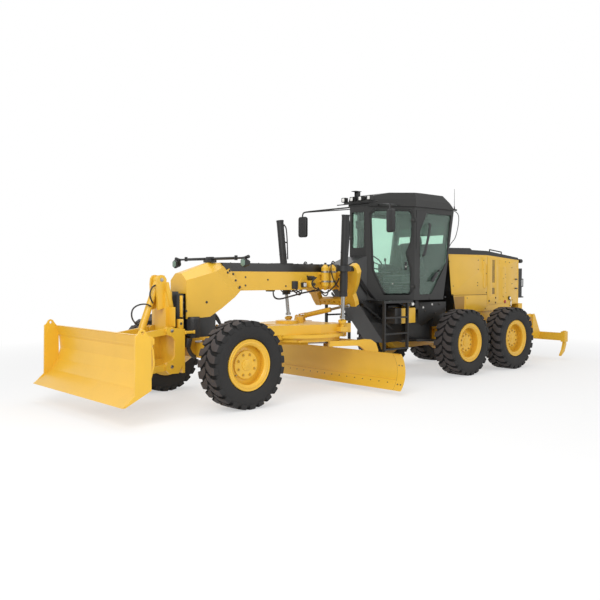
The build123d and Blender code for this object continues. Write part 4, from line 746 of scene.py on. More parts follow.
def hoodTurn(way, rearPart):
    # X runs back along the side, Y up, Z out; X is zero at the front end of that part
    settings = hoodPanels
    if rearPart:
        start = at(settings["seam"], way * settings["seamHalf"], 0)
        end = at(settings["rear"] + 0.05, way * settings["rearHalf"], 0)
    else:
        start = at(settings["front"], way * settings["frontHalf"], 0)
        end = at(settings["seam"], way * settings["seamHalf"], 0)
    return alongWall(start, end, way)


def rectangle(x0, x1, z0, z1):
    return [(x0, z0), (x1, z0), (x1, z1), (x0, z1)]


frontSheet = {"big": [(0.085, 2.230), (0.190, 1.478), (1.330, 1.466), (1.378, 1.520), (1.378, 2.236)],
              "oval": (rectangle(1.107, 1.212, 1.908, 2.200), 0.048),
              "low": [(0.640, 1.150), (1.378, 1.160), (1.378, 1.450), (0.640, 1.450)],
              "bolts": [(1.060, 2.150), (1.060, 1.966), (1.252, 2.151), (1.252, 1.966), (1.047, 1.701),
                        (1.047, 1.644), (0.115, 2.110),
                        (0.240, 1.640), (0.250, 1.417), (1.350, 1.884), (1.350, 1.500), (0.700, 1.400),
                        (1.320, 1.180), (0.700, 1.180)]}
rearSheet = {"sheet": [(0.006, 1.245), (1.160, 1.275), (1.160, 2.160), (0.006, 2.238)],
             "columns": [(0.180, 0.292, 1.690, 2.170), (0.190, 0.298, 1.455, 1.600), (0.360, 0.460, 2.080, 2.165),
                         (0.405, 0.490, 1.330, 2.010)],
             "raised": (rectangle(0.560, 0.715, 1.400, 2.050), 0.060),
             "plate": (rectangle(0.065, 0.315, 1.262, 1.416), 0.010),
             "bolts": [(0.596, 2.002), (0.693, 1.871), (0.701, 1.811), (0.604, 1.787), (0.681, 1.675), (0.676, 1.615),
                       (0.613, 1.589), (0.713, 1.486), (0.617, 1.401), (0.955, 2.012), (0.962, 1.674), (0.981, 1.330),
                       (0.694, 2.130), (0.847, 2.120)]}


def dressHood(side, way):
    bm = bmesh.new()
    proud, bevel = hoodPanels["proud"], hoodPanels["bevel"]
    front = hoodTurn(way, False)
    addPanel(bm, (frontSheet["big"], 0.012), [frontSheet["oval"]], proud, front @ Matrix.Translation((0, 0, 0.0002)),
             bevel)
    addPanel(bm, (frontSheet["low"], 0.012), [], proud, front @ Matrix.Translation((0, 0, 0.0002)), bevel)
    rear = hoodTurn(way, True)
    holes = [(rectangle(*column), 0.012) for column in rearSheet["columns"]]
    addPanel(bm, (rearSheet["sheet"], 0.012), holes, proud, rear @ Matrix.Translation((0, 0, 0.0002)), bevel)
    addPanel(bm, rearSheet["raised"], [], 0.006, rear @ Matrix.Translation((0, 0, proud)), 0.005, 3)
    addPanel(bm, rearSheet["plate"], [], 0.005, rear @ Matrix.Translation((0, 0, proud)), 0.003)
    gripHead = (rectangle(1.240, 1.366, 1.580, 2.110), 0.060)
    addPanel(bm, gripHead, [(rectangle(1.268, 1.352, 1.620, 2.070), 0.040)], 0.008,
             front @ Matrix.Translation((0, 0, proud)), 0.004, 3)
    out = front.to_3x3() @ Vector((0, 0, 1))
    for u, v in frontSheet["bolts"]:
        addBolt(bm, front @ Vector((u, v, proud)), out, 0.013, 0.009, material=1)
    out = rear.to_3x3() @ Vector((0, 0, 1))
    for u, v in rearSheet["bolts"]:
        addBolt(bm, rear @ Vector((u, v, proud)), out, 0.013, 0.010, material=1)
    for low, high in ((1.700, 2.160), (1.462, 1.594)):
        count = int((high - low) / 0.022)
        for i in range(count):
            z = low + (high - low) * (i + 0.5) / count
            addBox(bm, (0.194, z - 0.006, 0.0002), (0.284, z + 0.006, 0.0055), 0.002, 1, turn=rear, material=2)
    addRod(bm, rear @ Vector((0.846, 1.372, proud)), rear @ Vector((0.846, 1.372, proud + 0.030)), 0.040, bevel=0.006,
           sides=28, material=2)
    addRod(bm, rear @ Vector((0.846, 1.372, proud + 0.030)), rear @ Vector((0.846, 1.372, proud + 0.036)), 0.026,
           bevel=0.002, sides=24, material=3)
    addRod(bm, rear @ Vector((0.905, 1.200, proud + 0.014)), rear @ Vector((0.905, 1.322, proud + 0.014)), 0.011,
           bevel=0.002, material=3)
    for z in (1.212, 1.310):
        addBox(bm, (0.888, z - 0.008, proud), (0.922, z + 0.008, proud + 0.024), 0.003, 1, turn=rear, material=1)
    addRod(bm, rear @ Vector((0.683, 1.300, proud)), rear @ Vector((0.683, 1.300, proud + 0.016)), 0.034, bevel=0.004,
           sides=24, material=4)
    for z in (1.768, 1.573):
        addBox(bm, (1.080, z - 0.012, proud), (1.165, z + 0.012, proud + 0.020), 0.004, turn=rear, material=2)
    for u, v in ((0.068, 1.330), (0.312, 1.390), (0.312, 1.290)):
        addBox(bm, (u - 0.012, v - 0.018, proud), (u + 0.012, v + 0.018, proud + 0.014), 0.003, turn=rear, material=2)
    newPiece(f"hoodSheets_{side}", bm, "rear", "yellow", yellowPaint, boltFinish, plasticBlack, whiteLens, redLens)


for side, way in sides:
    dressHood(side, way)

hoodTrim = bmesh.new()
addBox(hoodTrim, at(-6.490, -0.120, 2.352), at(-6.350, 0.120, 2.372), 0.006)
for way in (-1, 1):
    for x in (-5.480, -5.700, -5.920):
        addBox(hoodTrim, at(x - 0.080, way * 0.060, 2.366), at(x + 0.080, way * 0.420, 2.376), 0.003)
    addRod(hoodTrim, at(-5.330, way * 0.470, 2.262), at(-7.800, way * 0.436, 2.190), 0.006)
newPiece("hoodTopTrim", hoodTrim, "rear", "black", plasticBlack)
print("hood dressed")

# ---- lamps, mirrors and aerial

lampPlan = {"x": -0.205, "z": 2.078, "half": 0.860, "lampY": 0.900, "lampZ": 2.010, "lampRadius": 0.068,
            "lens": -0.142}
mirrorPlan = {"x": -3.010, "y": 1.080, "low": 2.540, "high": 2.930, "width": 0.190, "thick": 0.072, "tilt": 12.0}


def onSide(y, way=1):
    # a plane along the machine: X forward, Y up, Z out to that side
    return Matrix.Translation(at(0, way * y, 0)) @ Matrix(((1, 0, 0), (0, 0, way), (0, 1, 0))).to_4x4()


def facing(x, y=0, way=1):
    # a plane across the machine: X to that side, Y up, Z forward
    return Matrix.Translation(at(x, y, 0)) @ Matrix(((0, 0, 1), (way, 0, 0), (0, 1, 0))).to_4x4()


def dressLamps(lamp, mirror):
    bm = bmesh.new()
    x, z = lamp["x"], lamp["z"]
    addRod(bm, at(x, -lamp["half"], z), at(x, lamp["half"], z), 0.015, bevel=0.003)
    addBox(bm, at(x - 0.055, -0.100, 2.022), at(x + 0.055, 0.100, 2.060), 0.008)
    addBox(bm, at(x - 0.030, -0.075, 2.050), at(x + 0.030, 0.075, z + 0.030), 0.010)
    for way in (-1, 1):
        addRod(bm, at(x, way * 0.120, z), at(x, way * 0.640, z), 0.021, bevel=0.004)
        addBox(bm, at(x - 0.022, way * 0.655 - 0.012, z - 0.030), at(x + 0.022, way * 0.655 + 0.012, z + 0.040),
               0.004)
        addBox(bm, at(x - 0.020, way * 0.855 - 0.022, 2.000), at(x + 0.020, way * 0.855 + 0.022, z + 0.018), 0.005)
        addRod(bm, at(x, way * 0.855, z), at(x, way * 0.955, z + 0.018), 0.020, 0.026, bevel=0.006)
        y, low = way * lamp["lampY"], lamp["lampZ"]
        addRod(bm, at(x - 0.045, y, low), at(x + 0.020, y, low), 0.040, lamp["lampRadius"] - 0.006, sides=6,
               bevel=0.006)
        addRod(bm, at(x + 0.020, y, low), at(lamp["lens"], y, low), lamp["lampRadius"], sides=6, bevel=0.006)
        addRod(bm, at(lamp["lens"] - 0.004, y, low), at(lamp["lens"] + 0.003, y, low), lamp["lampRadius"] - 0.011,
               sides=6, bevel=0.003, material=1)
        mx, my = mirror["x"], way * mirror["y"]
        high = 3.005
        addHose(bm, [at(-3.560, way * 0.320, 3.085), at(-3.300, way * 0.650, 3.050),
                     at(mx - 0.060, my - way * 0.110, high + 0.012),
                     at(mx - 0.005, my - way * 0.010, high), at(mx, my, high - 0.050), at(mx, my, 2.640)], 0.0135, 12)
        addHose(bm, [at(-3.850, way * 0.550, 3.085), at(mx - 0.020, my - way * 0.010, 3.004)], 0.0105, 10)
        addRod(bm, at(-3.560, way * 0.320, 3.062), at(-3.560, way * 0.320, 3.100), 0.030, bevel=0.004)
        middle = (mirror["low"] + mirror["high"]) / 2
        turn = Matrix.Translation(at(mx - 0.010, my, middle)) @ Matrix.Rotation(math.radians(-mirror["tilt"] * way),
                                                                                4, "Z")
        half, tall, thick = mirror["width"] / 2, (mirror["high"] - mirror["low"]) / 2 - 0.004, mirror["thick"]
        shell = turn @ Matrix(((0, 0, 1), (1, 0, 0), (0, 1, 0))).to_4x4()
        outline = [(-half, -tall), (half, -tall), (half, tall), (-half, tall)]
        addPlate(bm, outline, thick - 0.030, shell @ Matrix.Translation((0, 0, -0.022)), 0.022, 4, corner=0.045,
                 cornerSegments=6)
        addPlate(bm, [(u * 0.97, v * 0.985) for u, v in outline], 0.012, shell @ Matrix.Translation((0, 0, -0.034)),
                 0.004, 2, corner=0.042, cornerSegments=6)
        addPlate(bm, [(u * 0.86, v * 0.93) for u, v in outline], 0.003, shell @ Matrix.Translation((0, 0, -0.0365)),
                 0.001, 1, corner=0.034, cornerSegments=6, material=2)
        for v in (-0.080, 0.080):
            addRod(bm, at(mx, my, middle + v - 0.014), at(mx, my, middle + v + 0.014), 0.021, bevel=0.003)
    y = 0.686
    addBox(bm, at(-5.283, y - 0.018, 3.0605), at(-5.197, y + 0.018, 3.072), 0.003)
    addRod(bm, at(-5.265, y, 3.070), at(-5.265, y, 3.140), 0.014, 0.009, bevel=0.002)
    addRod(bm, at(-5.265, y, 3.130), at(-5.265, y, 3.463), 0.0045, 0.003, sides=10)
    piece = newPiece("lampsMirrors", bm, "front", "black", blackPaint, lampLens, mirrorGlass)
    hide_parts("lamps_mirrors")


dressLamps(lampPlan, mirrorPlan)

# ---- cab outside

cabTrim = {"lampX": -3.318, "lampYs": (-0.312, -0.104, 0.104, 0.312), "lampLow": 3.162, "lampHigh": 3.230,
           "quarterY": 0.7005}


def dressCab(settings):
    bm = bmesh.new()
    low, high = settings["lampLow"], settings["lampHigh"]
    for y in settings["lampYs"]:
        x = settings["lampX"]
        addPanel(bm, (rectangle(-0.041, 0.041, low - 0.006, high + 0.006), 0.012),
                 [(rectangle(-0.031, 0.031, low + 0.004, high - 0.004), 0.008)],
                 0.010, facing(x - 0.002, y), 0.003)
        addBox(bm, at(x - 0.003, y - 0.032, low + 0.003), at(x + 0.003, y + 0.032, high - 0.003), 0.002, material=1)
    addRod(bm, at(-3.350, -0.500, 3.118), at(-3.350, 0.500, 3.118), 0.009)
    addBox(bm, at(-3.410, -0.055, 3.320), at(-3.265, 0.055, 3.331), 0.003)
    for y in (-0.036, 0.036):
        addBox(bm, at(-3.390, y - 0.010, 3.150), at(-3.330, y + 0.010, 3.322), 0.003)
    addBox(bm, at(-5.172, -0.600, 2.600), at(-5.152, 0.600, 2.990), 0.006, material=2)
    for way in (-1, 1):
        side = onSide(settings["quarterY"], way)
        # dark border of the bonded rear side window, its front corner cut back
        addPlate(bm, [(-4.140, 2.300), (-4.180, 2.440), (-4.245, 2.630), (-4.463, 3.000), (-4.140, 3.000)], 0.006,
                 side, 0.002, 1)
        addHose(bm, [at(-4.470, way * 0.705, 2.760), at(-4.480, way * 0.735, 2.765), at(-4.478, way * 0.745, 2.730),
                     at(-4.440, way * 0.745, 2.560),
                     at(-4.330, way * 0.745, 2.240), at(-4.322, way * 0.738, 2.200), at(-4.310, way * 0.705, 2.195)],
                0.023, 14, 2)
        addPlate(bm, [(-4.540, 1.740), (-4.600, 1.720), (-4.750, 1.880), (-4.690, 1.905)], 0.035, side, 0.006, 2,
                 corner=0.008, material=2)
        addRod(bm, at(-4.770, way * 0.700, 1.930), at(-4.770, way * 0.742, 1.930), 0.022, bevel=0.004)
        for x, z in ((-4.530, 1.420), (-4.990, 1.440)):
            addRod(bm, at(x, way * 0.688, z), at(x, way * 0.706, z), 0.018, bevel=0.003, sides=20)
    y = 0.722
    addHose(bm, [at(-5.240, y - 0.020, 3.050), at(-5.330, y, 3.020), at(-5.375, y, 2.940), at(-5.330, y, 2.720),
                 at(-5.245, y, 2.510),
                 at(-5.120, y, 2.455), at(-5.020, y, 2.300), at(-4.985, y, 2.100), at(-4.930, y - 0.020, 1.970)],
            0.007, 10, 2)
    addRod(bm, at(-5.220, 0.660, 3.085), at(-5.320, 0.700, 3.070), 0.017, bevel=0.004, material=2)
    newPiece("cabTrim", bm, "front", "black", blackPaint, whiteLens, plasticBlack)


dressCab(cabTrim)

cabHoses = bmesh.new()
for i, run in enumerate(([(-2.960, 1.960), (-3.050, 1.860), (-3.164, 1.760), (-3.268, 1.640), (-3.399, 1.500),
                          (-3.620, 1.340)],
                         [(-2.990, 1.533), (-3.142, 1.391), (-3.297, 1.299), (-3.561, 1.131), (-3.943, 0.898)])):
    for way in (-1, 1):
        for j in range(2):
            y = way * (0.262 + 0.034 * j)
            addHose(cabHoses, [at(x - 0.030 * j, y, z - 0.020 * j) for x, z in run], 0.013, 10)
for way in (-1, 1):
    for x, z in ((-3.220, 1.330), (-3.560, 1.130)):
        addBox(cabHoses, at(x - 0.012, way * 0.262 - way * 0.027, z - 0.040), at(x + 0.012, way * 0.262 + way * 0.052,
                                                                                 z + 0.040), 0.004, material=1)
newPiece("neckHoses", cabHoses, "front", "black", hoseRubber, blackPaint)

# ---- front frame, cowl and beam

beamTrim = {"face": 0.160, "cowlFace": 0.213,
            "flangeBolts": [(-0.408, 1.874), (-0.444, 1.903), (-0.509, 1.853), (-0.554, 1.756), (-0.635, 1.657),
                            (-0.622, 1.643)],
            "beamBolts": [(-0.749, 1.678), (-1.190, 1.765), (-1.560, 1.662), (-0.750, 1.805), (-2.020, 1.820)],
            "cowlBolts": [(0.000, 1.440), (0.350, 1.320)],
            "bottles": (-2.340, -2.500), "bottleY": 0.255, "bottleRadius": 0.0665, "bands": (1.735, 1.895)}


def dressBeam(settings):
    bm = bmesh.new()
    face = settings["face"]
    for way in (-1, 1):
        out = Vector((0, way, 0))
        addPlate(bm, [(-0.330, 1.880), (-0.440, 1.935), (-0.700, 1.620), (-0.620, 1.606), (-0.500, 1.610)], 0.012,
                 onSide(face + 0.0002, way), 0.002)
        for x, z in settings["flangeBolts"]:
            addBolt(bm, at(x, way * (face + 0.012), z), out, 0.024, 0.014, material=1)
        for x, z in settings["beamBolts"]:
            addBolt(bm, at(x, way * (face + 0.0002), z), out, 0.020, 0.010, material=1)
        for x, z in settings["cowlBolts"]:
            addBolt(bm, at(x, way * (settings["cowlFace"] + 0.0002), z), out, 0.026, 0.010, material=1)
        addBox(bm, at(-1.805, way * face - way * 0.001, 1.616), at(-1.685, way * (face + 0.018), 1.742), 0.004,
               material=2)
        addPlate(bm, [(-1.835, 1.614), (-1.990, 1.614), (-1.975, 1.690), (-1.930, 1.780), (-1.890, 1.790),
                      (-1.850, 1.730)], 0.010, onSide(face + 0.0002, way), 0.002, 1)
        addBox(bm, at(-1.950, way * (face + 0.008), 1.640), at(-1.870, way * (face + 0.070), 1.722), 0.012,
               material=2)
        addBox(bm, at(-1.940, way * (face + 0.066), 1.650), at(-1.880, way * (face + 0.080), 1.710), 0.008,
               material=3)
        addRod(bm, at(-2.050, way * face, 1.790), at(-2.050, way * (face + 0.130), 1.790), 0.036, bevel=0.006,
               material=2)
        addBox(bm, at(-2.130, way * face, 1.640), at(-2.010, way * (face + 0.090), 1.750), 0.008)
        addRod(bm, at(-2.070, way * (face + 0.088), 1.690), at(-2.070, way * (face + 0.130), 1.690), 0.026, sides=6,
               bevel=0.003, material=1)
        for x in settings["bottles"]:
            y = way * settings["bottleY"]
            for z in settings["bands"]:
                ring = [(settings["bottleRadius"], -0.014), (settings["bottleRadius"] + 0.004, -0.014),
                        (settings["bottleRadius"] + 0.004, 0.014), (settings["bottleRadius"], 0.014)]
                addTurned(bm, ring, at(x, y, z), (0, 0, 1), 32, material=4)
                addBox(bm, at(x - 0.012, y + way * 0.064, z - 0.016), at(x + 0.012, y + way * 0.082, z + 0.016),
                       0.003, material=4)
            addRod(bm, at(x, y, 1.590), at(x, y, 1.630), 0.026, sides=6, bevel=0.003)
            addRod(bm, at(x, y, 2.020), at(x, y, 2.046), 0.020, bevel=0.003, material=2)
    for i in range(9):
        x = -0.500 - 0.270 * i
        for way in (-1, 1):
            addBolt(bm, at(x, way * 0.118, 2.0222), (0, 0, 1), 0.016, 0.006, material=1)
    addPlate(bm, [(-1.470, -0.200), (-1.700, -0.200), (-1.700, 0.200), (-1.470, 0.200)], 0.008,
             Matrix.Translation(at(0, 0, 2.0222)), 0.003, 1, corner=0.03, material=5)
    addBox(bm, at(-1.420, -0.060, 1.575), at(-1.320, 0.060, 1.600), 0.006, material=2)
    newPiece("beamTrim", bm, "front", "yellow", yellowPaint, boltFinish, plasticBlack, labelWhite, steelFinish,
             blackPaint)


dressBeam(beamTrim)

beamHoses = bmesh.new()
for way in (-1, 1):
    for y, run, radius in ((0.360, [(-2.042, 1.800), (-1.950, 1.760), (-1.930, 1.680), (-2.010, 1.620),
                                    (-2.145, 1.593), (-2.214, 1.534), (-2.307, 1.560),
                                    (-2.471, 1.660), (-2.560, 1.780), (-2.600, 1.880), (-2.640, 1.960)], 0.012),
                           (0.345, [(-2.469, 2.040), (-2.440, 2.085), (-2.395, 2.060), (-2.375, 1.940),
                                    (-2.420, 1.794), (-2.494, 1.690), (-2.560, 1.640)], 0.010),
                           (0.330, [(-2.340, 1.600), (-2.330, 1.500), (-2.250, 1.480), (-2.180, 1.560),
                                    (-2.100, 1.640)], 0.010),
                           (0.200, [(-1.745, 1.620), (-1.760, 1.560), (-1.880, 1.540), (-2.060, 1.570),
                                    (-2.150, 1.600)], 0.009)):
        addHose(beamHoses, [at(x, way * y, z) for x, z in run], radius, 10)
for shift in (0.0, 0.022):
    low = [(-1.350, 1.590), (-1.345, 1.530), (-1.380, 1.470), (-1.480, 1.455), (-1.620, 1.480), (-1.760, 1.508),
           (-1.997, 1.557), (-2.202, 1.580),
           (-2.360, 1.588)]
    addHose(beamHoses, [at(x + shift, 0.100 + shift, z - shift * 0.4) for x, z in low], 0.009, 10)
newPiece("beamHoses", beamHoses, "front", "black", hoseRubber)

noseTrim = {"filterX": 0.235, "filterY": 0.222, "filterRadius": 0.098, "filterLow": 0.935, "filterHigh": 1.235,
            "ribs": 28}


def dressNose(settings):
    bm = bmesh.new()
    x, low, high = settings["filterX"], settings["filterLow"], settings["filterHigh"]
    for way in (-1, 1):
        y = way * settings["filterY"]
        addRod(bm, at(x, y, low), at(x, y, high), settings["filterRadius"] - 0.006, sides=40, bevel=0.010, material=1)
        for i in range(settings["ribs"]):
            angle = math.tau * i / settings["ribs"]
            reach = settings["filterRadius"] - 0.005
            spot = at(x + reach * math.cos(angle), y + reach * math.sin(angle), 0)
            addRod(bm, spot + Vector((0, 0, low + 0.030)), spot + Vector((0, 0, high - 0.030)), 0.0055, sides=6,
                   material=1)
        addRod(bm, at(x + 0.085, y, 0.930), at(x + 0.110, y, 0.800), 0.060, 0.050, bevel=0.010, material=1)
        addHose(bm, [at(0.325, y, 0.900), at(0.345, y + way * 0.010, 0.790), at(0.300, y, 0.700),
                     at(0.200, y * 0.9, 0.655)], 0.030, 14, 1)
        # clamp bracket round the canister
        addBox(bm, at(0.270, way * 0.315, 1.005), at(0.440, way * 0.327, 1.045), 0.006)
        for u in (0.285, 0.425):
            addRod(bm, at(u, way * 0.321, 1.000), at(u, way * 0.321, 1.050), 0.012, bevel=0.002, sides=12)
        # upright tube and lock block beside the tower
        addBox(bm, at(0.455, way * 0.258, 1.240), at(0.490, way * 0.296, 1.545), 0.008)
        addBox(bm, at(0.448, way * 0.236, 1.080), at(0.530, way * 0.300, 1.215), 0.008)
        addRod(bm, at(0.489, way * 0.299, 1.150), at(0.489, way * 0.302, 1.150), 0.020, material=2)
        addBox(bm, at(0.425, way * 0.214, 1.080), at(0.450, way * 0.262, 1.560), 0.006, material=1)
        for v in (1.120, 1.260, 1.350, 1.440, 1.520):
            addBolt(bm, at(0.436, way * 0.262, v), (0, way, 0), 0.022, 0.012, material=2)
        # face plate of the lift tower, and the cheek beside it
        addPlate(bm, [(-0.010, 1.112), (0.312, 1.112), (0.312, 1.386), (-0.010, 1.386)], 0.012,
                 facing(0.590, way=way), 0.003)
        addPlate(bm, [(0.500, 1.240), (0.535, 1.240), (0.640, 1.600), (0.636, 1.735), (0.604, 1.735), (0.572, 1.600)],
                 0.014, onSide(0.152, way), 0.003)
        for run in ([(-0.100, 1.300), (-0.192, 1.232), (-0.270, 1.150), (-0.331, 1.055)],
                    [(-0.150, 1.300), (-0.244, 1.245), (-0.300, 1.160), (-0.330, 1.040)]):
            addHose(bm, [at(u, way * 0.120, v) for u, v in run], 0.016, 10, 1)
    newPiece("noseTrim", bm, "front", "yellow", yellowPaint, plasticBlack, boltFinish)


dressNose(noseTrim)

# ---- lift cylinders, saddle and drawbar

liftTrim = {"x": -2.290, "y": 0.745, "z": 1.945, "leanX": 0.0457, "leanY": 0.0857, "radius": 0.062, "low": 1.500,
            "high": 2.805, "ballZ": 1.070,
            "cup": [(0.0485, 0.000), (0.062, 0.000), (0.067, 0.006), (0.067, 0.040), (0.050, 0.044), (0.036, 0.055),
                    (0.012, 0.055),
                    (0.012, 0.052), (0.0485, 0.036)]}


def dressLift(side, way, settings):
    def along(z):
        rise = z - settings["z"]
        return at(settings["x"] + settings["leanX"] * rise, way * (settings["y"] + settings["leanY"] * rise), z)
    bm = bmesh.new()
    radius = settings["radius"]
    line = along(settings["high"]) - along(settings["low"])
    collars = ((settings["low"] + 0.002, 0.045, 0.005), (settings["low"] + 0.080, 0.016, 0.004),
               (settings["high"] - 0.030, 0.028, 0.004),
               (settings["z"] + 0.250, 0.018, 0.003))
    for z, tall, proud in collars:
        addTurned(bm, [(radius - 0.001, 0), (radius + proud, 0), (radius + proud, tall), (radius - 0.001, tall)],
                  along(z), line, 32)
    aside = Vector((-0.010 - radius, -way * 0.012, 0))
    addHose(bm, [along(2.720) + aside * 0.9, along(2.715) + aside * 1.45, along(2.660) + aside * 1.65,
                 along(2.420) + aside * 1.55,
                 along(2.250) + aside * 1.35, along(2.120) + aside * 1.25], 0.011, 10, 1)
    addHose(bm, [along(1.560) + aside * 0.9, along(1.565) + aside * 1.35, along(1.660) + aside * 1.4,
                 along(1.800) + aside * 1.35,
                 along(1.860) + aside * 1.3], 0.011, 10, 1)
    for z in (2.720, 1.560):
        addRod(bm, along(z) + aside * 0.8, along(z) + aside * 1.25, 0.018, sides=6, bevel=0.002, material=2)
    spot = along(2.420)
    addBox(bm, spot + Vector((-radius - 0.040, -0.022, -0.012)), spot + Vector((-radius * 0.5, 0.022, 0.012)), 0.004)
    newPiece(f"liftTrim_{side}", bm, f"lift_barrel_{side}", "black", blackPaint, hoseRubber, boltFinish)
    # the cup bolted over the drawbar's ball
    cup = bmesh.new()
    addTurned(cup, settings["cup"], along(settings["ballZ"]), line, 32)
    for turn in (0.6, 2.7, 4.4):
        spot = along(settings["ballZ"] + 0.040) + Vector((math.cos(turn), math.sin(turn), 0)) * 0.057
        addBolt(cup, spot, line, 0.014, 0.008, material=1)
    newPiece(f"liftCup_{side}", cup, "drawbar", "yellow", yellowPaint, boltFinish)


for side, way in sides:
    dressLift(side, way, liftTrim)

# ---- blades

bladeTrim = {"centreX": -2.128, "centreZ": 0.3565, "radius": 0.402, "boltZ": 0.176, "pitch": 0.178, "count": 18,
             "bitY": 1.754, "seamY": 1.679, "low": 0.080, "high": 0.626}


def onBlade(y, z, settings):
    x = settings["centreX"] - math.sqrt(settings["radius"] ** 2 - (z - settings["centreZ"]) ** 2)
    out = Vector((settings["centreX"] - x, 0, settings["centreZ"] - z)).normalized()
    return at(x, y, z), out


def dressBlade(settings):
    bm = bmesh.new()
    first = -settings["pitch"] * (settings["count"] - 1) / 2
    for i in range(settings["count"]):
        spot, out = onBlade(first + settings["pitch"] * i, settings["boltZ"], settings)
        addRod(bm, spot - out * 0.006, spot + out * 0.0015, 0.0105, sides=14, material=1)
    for way in (-1, 1):
        for z in (0.165, 0.455):
            for shift in (-0.030, 0.030):
                spot, out = onBlade(way * (settings["bitY"] + shift), z, settings)
                addRod(bm, spot - out * 0.006, spot + out * 0.0015, 0.0125, sides=14, material=1)
        # a thin strip down each end bit's seam, in painted shade of the gap
        steps = 14
        for i in range(steps):
            ends = [onBlade(way * settings["seamY"],
                            settings["low"] + (settings["high"] - settings["low"]) * k / steps,
                            settings) for k in (i, i + 1)]
            addRod(bm, ends[0][0] - ends[0][1] * 0.0022, ends[1][0] - ends[1][1] * 0.0022, 0.0030, sides=6,
                   material=2)
    newPiece("bladeBolts", bm, "blade", "yellow", yellowPaint, boltFinish, gapShadeYellow)


dressBlade(bladeTrim)

dozerTrim = bmesh.new()
for way in (-1, 1):
    for z in (1.057, 0.556):
        spot = at(0.650, way * 0.306, z)
        addTurned(dozerTrim, [(0.024, -0.004), (0.052, -0.004), (0.052, 0.010), (0.046, 0.014), (0.024, 0.014)], spot,
                  (0, way, 0), 32)
        addRod(dozerTrim, spot, spot + Vector((0, way * 0.020, 0)), 0.0245, bevel=0.003, sides=28, material=1)
    addRod(dozerTrim, at(0.683, way * 0.103, 1.766), at(0.683, way * 0.112, 1.766), 0.027, bevel=0.003, sides=28,
           material=1)
newPiece("towerPins", dozerTrim, "front", "yellow", yellowPaint, steelFinish)

dozerHoses = bmesh.new()
for run in ([(0.830, 1.392), (0.880, 1.424), (0.950, 1.434), (1.030, 1.420), (1.110, 1.385), (1.148, 1.300),
             (1.120, 1.195), (1.045, 1.145)],
            [(0.720, 1.700), (0.800, 1.690), (0.850, 1.610), (0.860, 1.520), (0.800, 1.440)]):
    addHose(dozerHoses, [at(x, 0.066, z) for x, z in run], 0.011, 10)
newPiece("dozerHoses", dozerHoses, "dozer_barrel", "black", hoseRubber)

rearTrim = bmesh.new()
for way in (-1, 1):
    front = hoodTurn(way, False)
    # thin strips in the gaps under and behind the front hood sheet, in painted shade
    addBox(rearTrim, (0.195, 1.4545, 0.0002), (1.372, 1.4625, 0.004), 0.001, 1, turn=front, material=1)
    addBox(rearTrim, (1.3785, 1.165, 0.0002), (1.3865, 2.215, 0.003), 0.001, 1, turn=front, material=1)
    addPlate(rearTrim, [(-4.500, 1.345), (-5.330, 1.345), (-5.330, 1.150), (-4.900, 1.030), (-4.600, 0.905),
                        (-4.500, 0.960)], 0.012,
             onSide(0.4505, way), 0.004)
    for x, z in ((-4.560, 1.300), (-4.700, 1.180), (-5.000, 1.130), (-5.120, 1.300), (-5.290, 1.200)):
        addBolt(rearTrim, at(x, way * 0.4625, z), (0, way, 0), 0.026, 0.014, material=2)
    for x, z in ((-4.900, 1.300), (-4.640, 1.250)):
        addRod(rearTrim, at(x, way * 0.4625, z), at(x, way * 0.474, z), 0.020, bevel=0.003, material=3)
newPiece("rearTrim", rearTrim, "rear", "black", blackPaint, gapShadeYellow, boltFinish, whiteLens)

underCab = bmesh.new()
for way in (-1, 1):
    addBox(underCab, at(-4.335, way * 0.270, 1.225), at(-4.245, way * 0.610, 1.397), 0.012, 3)
    addBox(underCab, at(-4.235, way * 0.300, 0.990), at(-4.050, way * 0.6235, 1.262), 0.012, 3, material=2)
    addBox(underCab, at(-4.160, way * 0.420, 1.255), at(-4.090, way * 0.560, 1.397), 0.008, 2, material=2)
    addRod(underCab, at(-4.120, way * 0.630, 1.330), at(-4.120, way * 0.660, 1.330), 0.030, bevel=0.004, material=1)
    for j in range(4):
        addHose(underCab, [at(-3.700 - 0.040 * j, way * 0.640, 1.396), at(-3.720 - 0.040 * j, way * 0.650, 1.345),
                           at(-3.850, way * 0.655, 1.325 - 0.012 * j),
                           at(-4.000, way * 0.650, 1.335 - 0.014 * j), at(-4.150, way * 0.620, 1.345 - 0.014 * j),
                           at(-4.290, way * 0.612, 1.330)], 0.010, 10)
newPiece("underCab", underCab, "front", "black", plasticBlack, whiteLens, yellowPaint)
print("details made")

# ---- stage, lights and camera

stageSettings = {"floorSize": 160.0, "floorColour": (0.88, 0.88, 0.88), "skyLight": 0.6, "backdrop": 1.0,
                 "fade": (6.0, 11.0),
                 "floorWhite": 0.5}


def seenRay(tree):
    # 1 for what the camera sees directly, in gloss or through glass
    path = addNode(tree, "ShaderNodeLightPath")
    joined = path.outputs["Is Camera Ray"]
    for label in ("Is Glossy Ray", "Is Transmission Ray"):
        joined = maths(tree, "MAXIMUM", joined, path.outputs[label])
    return joined


def blendShaders(tree, share, first, second, output):
    blend = addNode(tree, "ShaderNodeMixShader")
    feed(tree, blend.inputs, (share, first.outputs[0], second.outputs[0]))
    tree.links.new(blend.outputs[0], tree.nodes[output].inputs["Surface"])


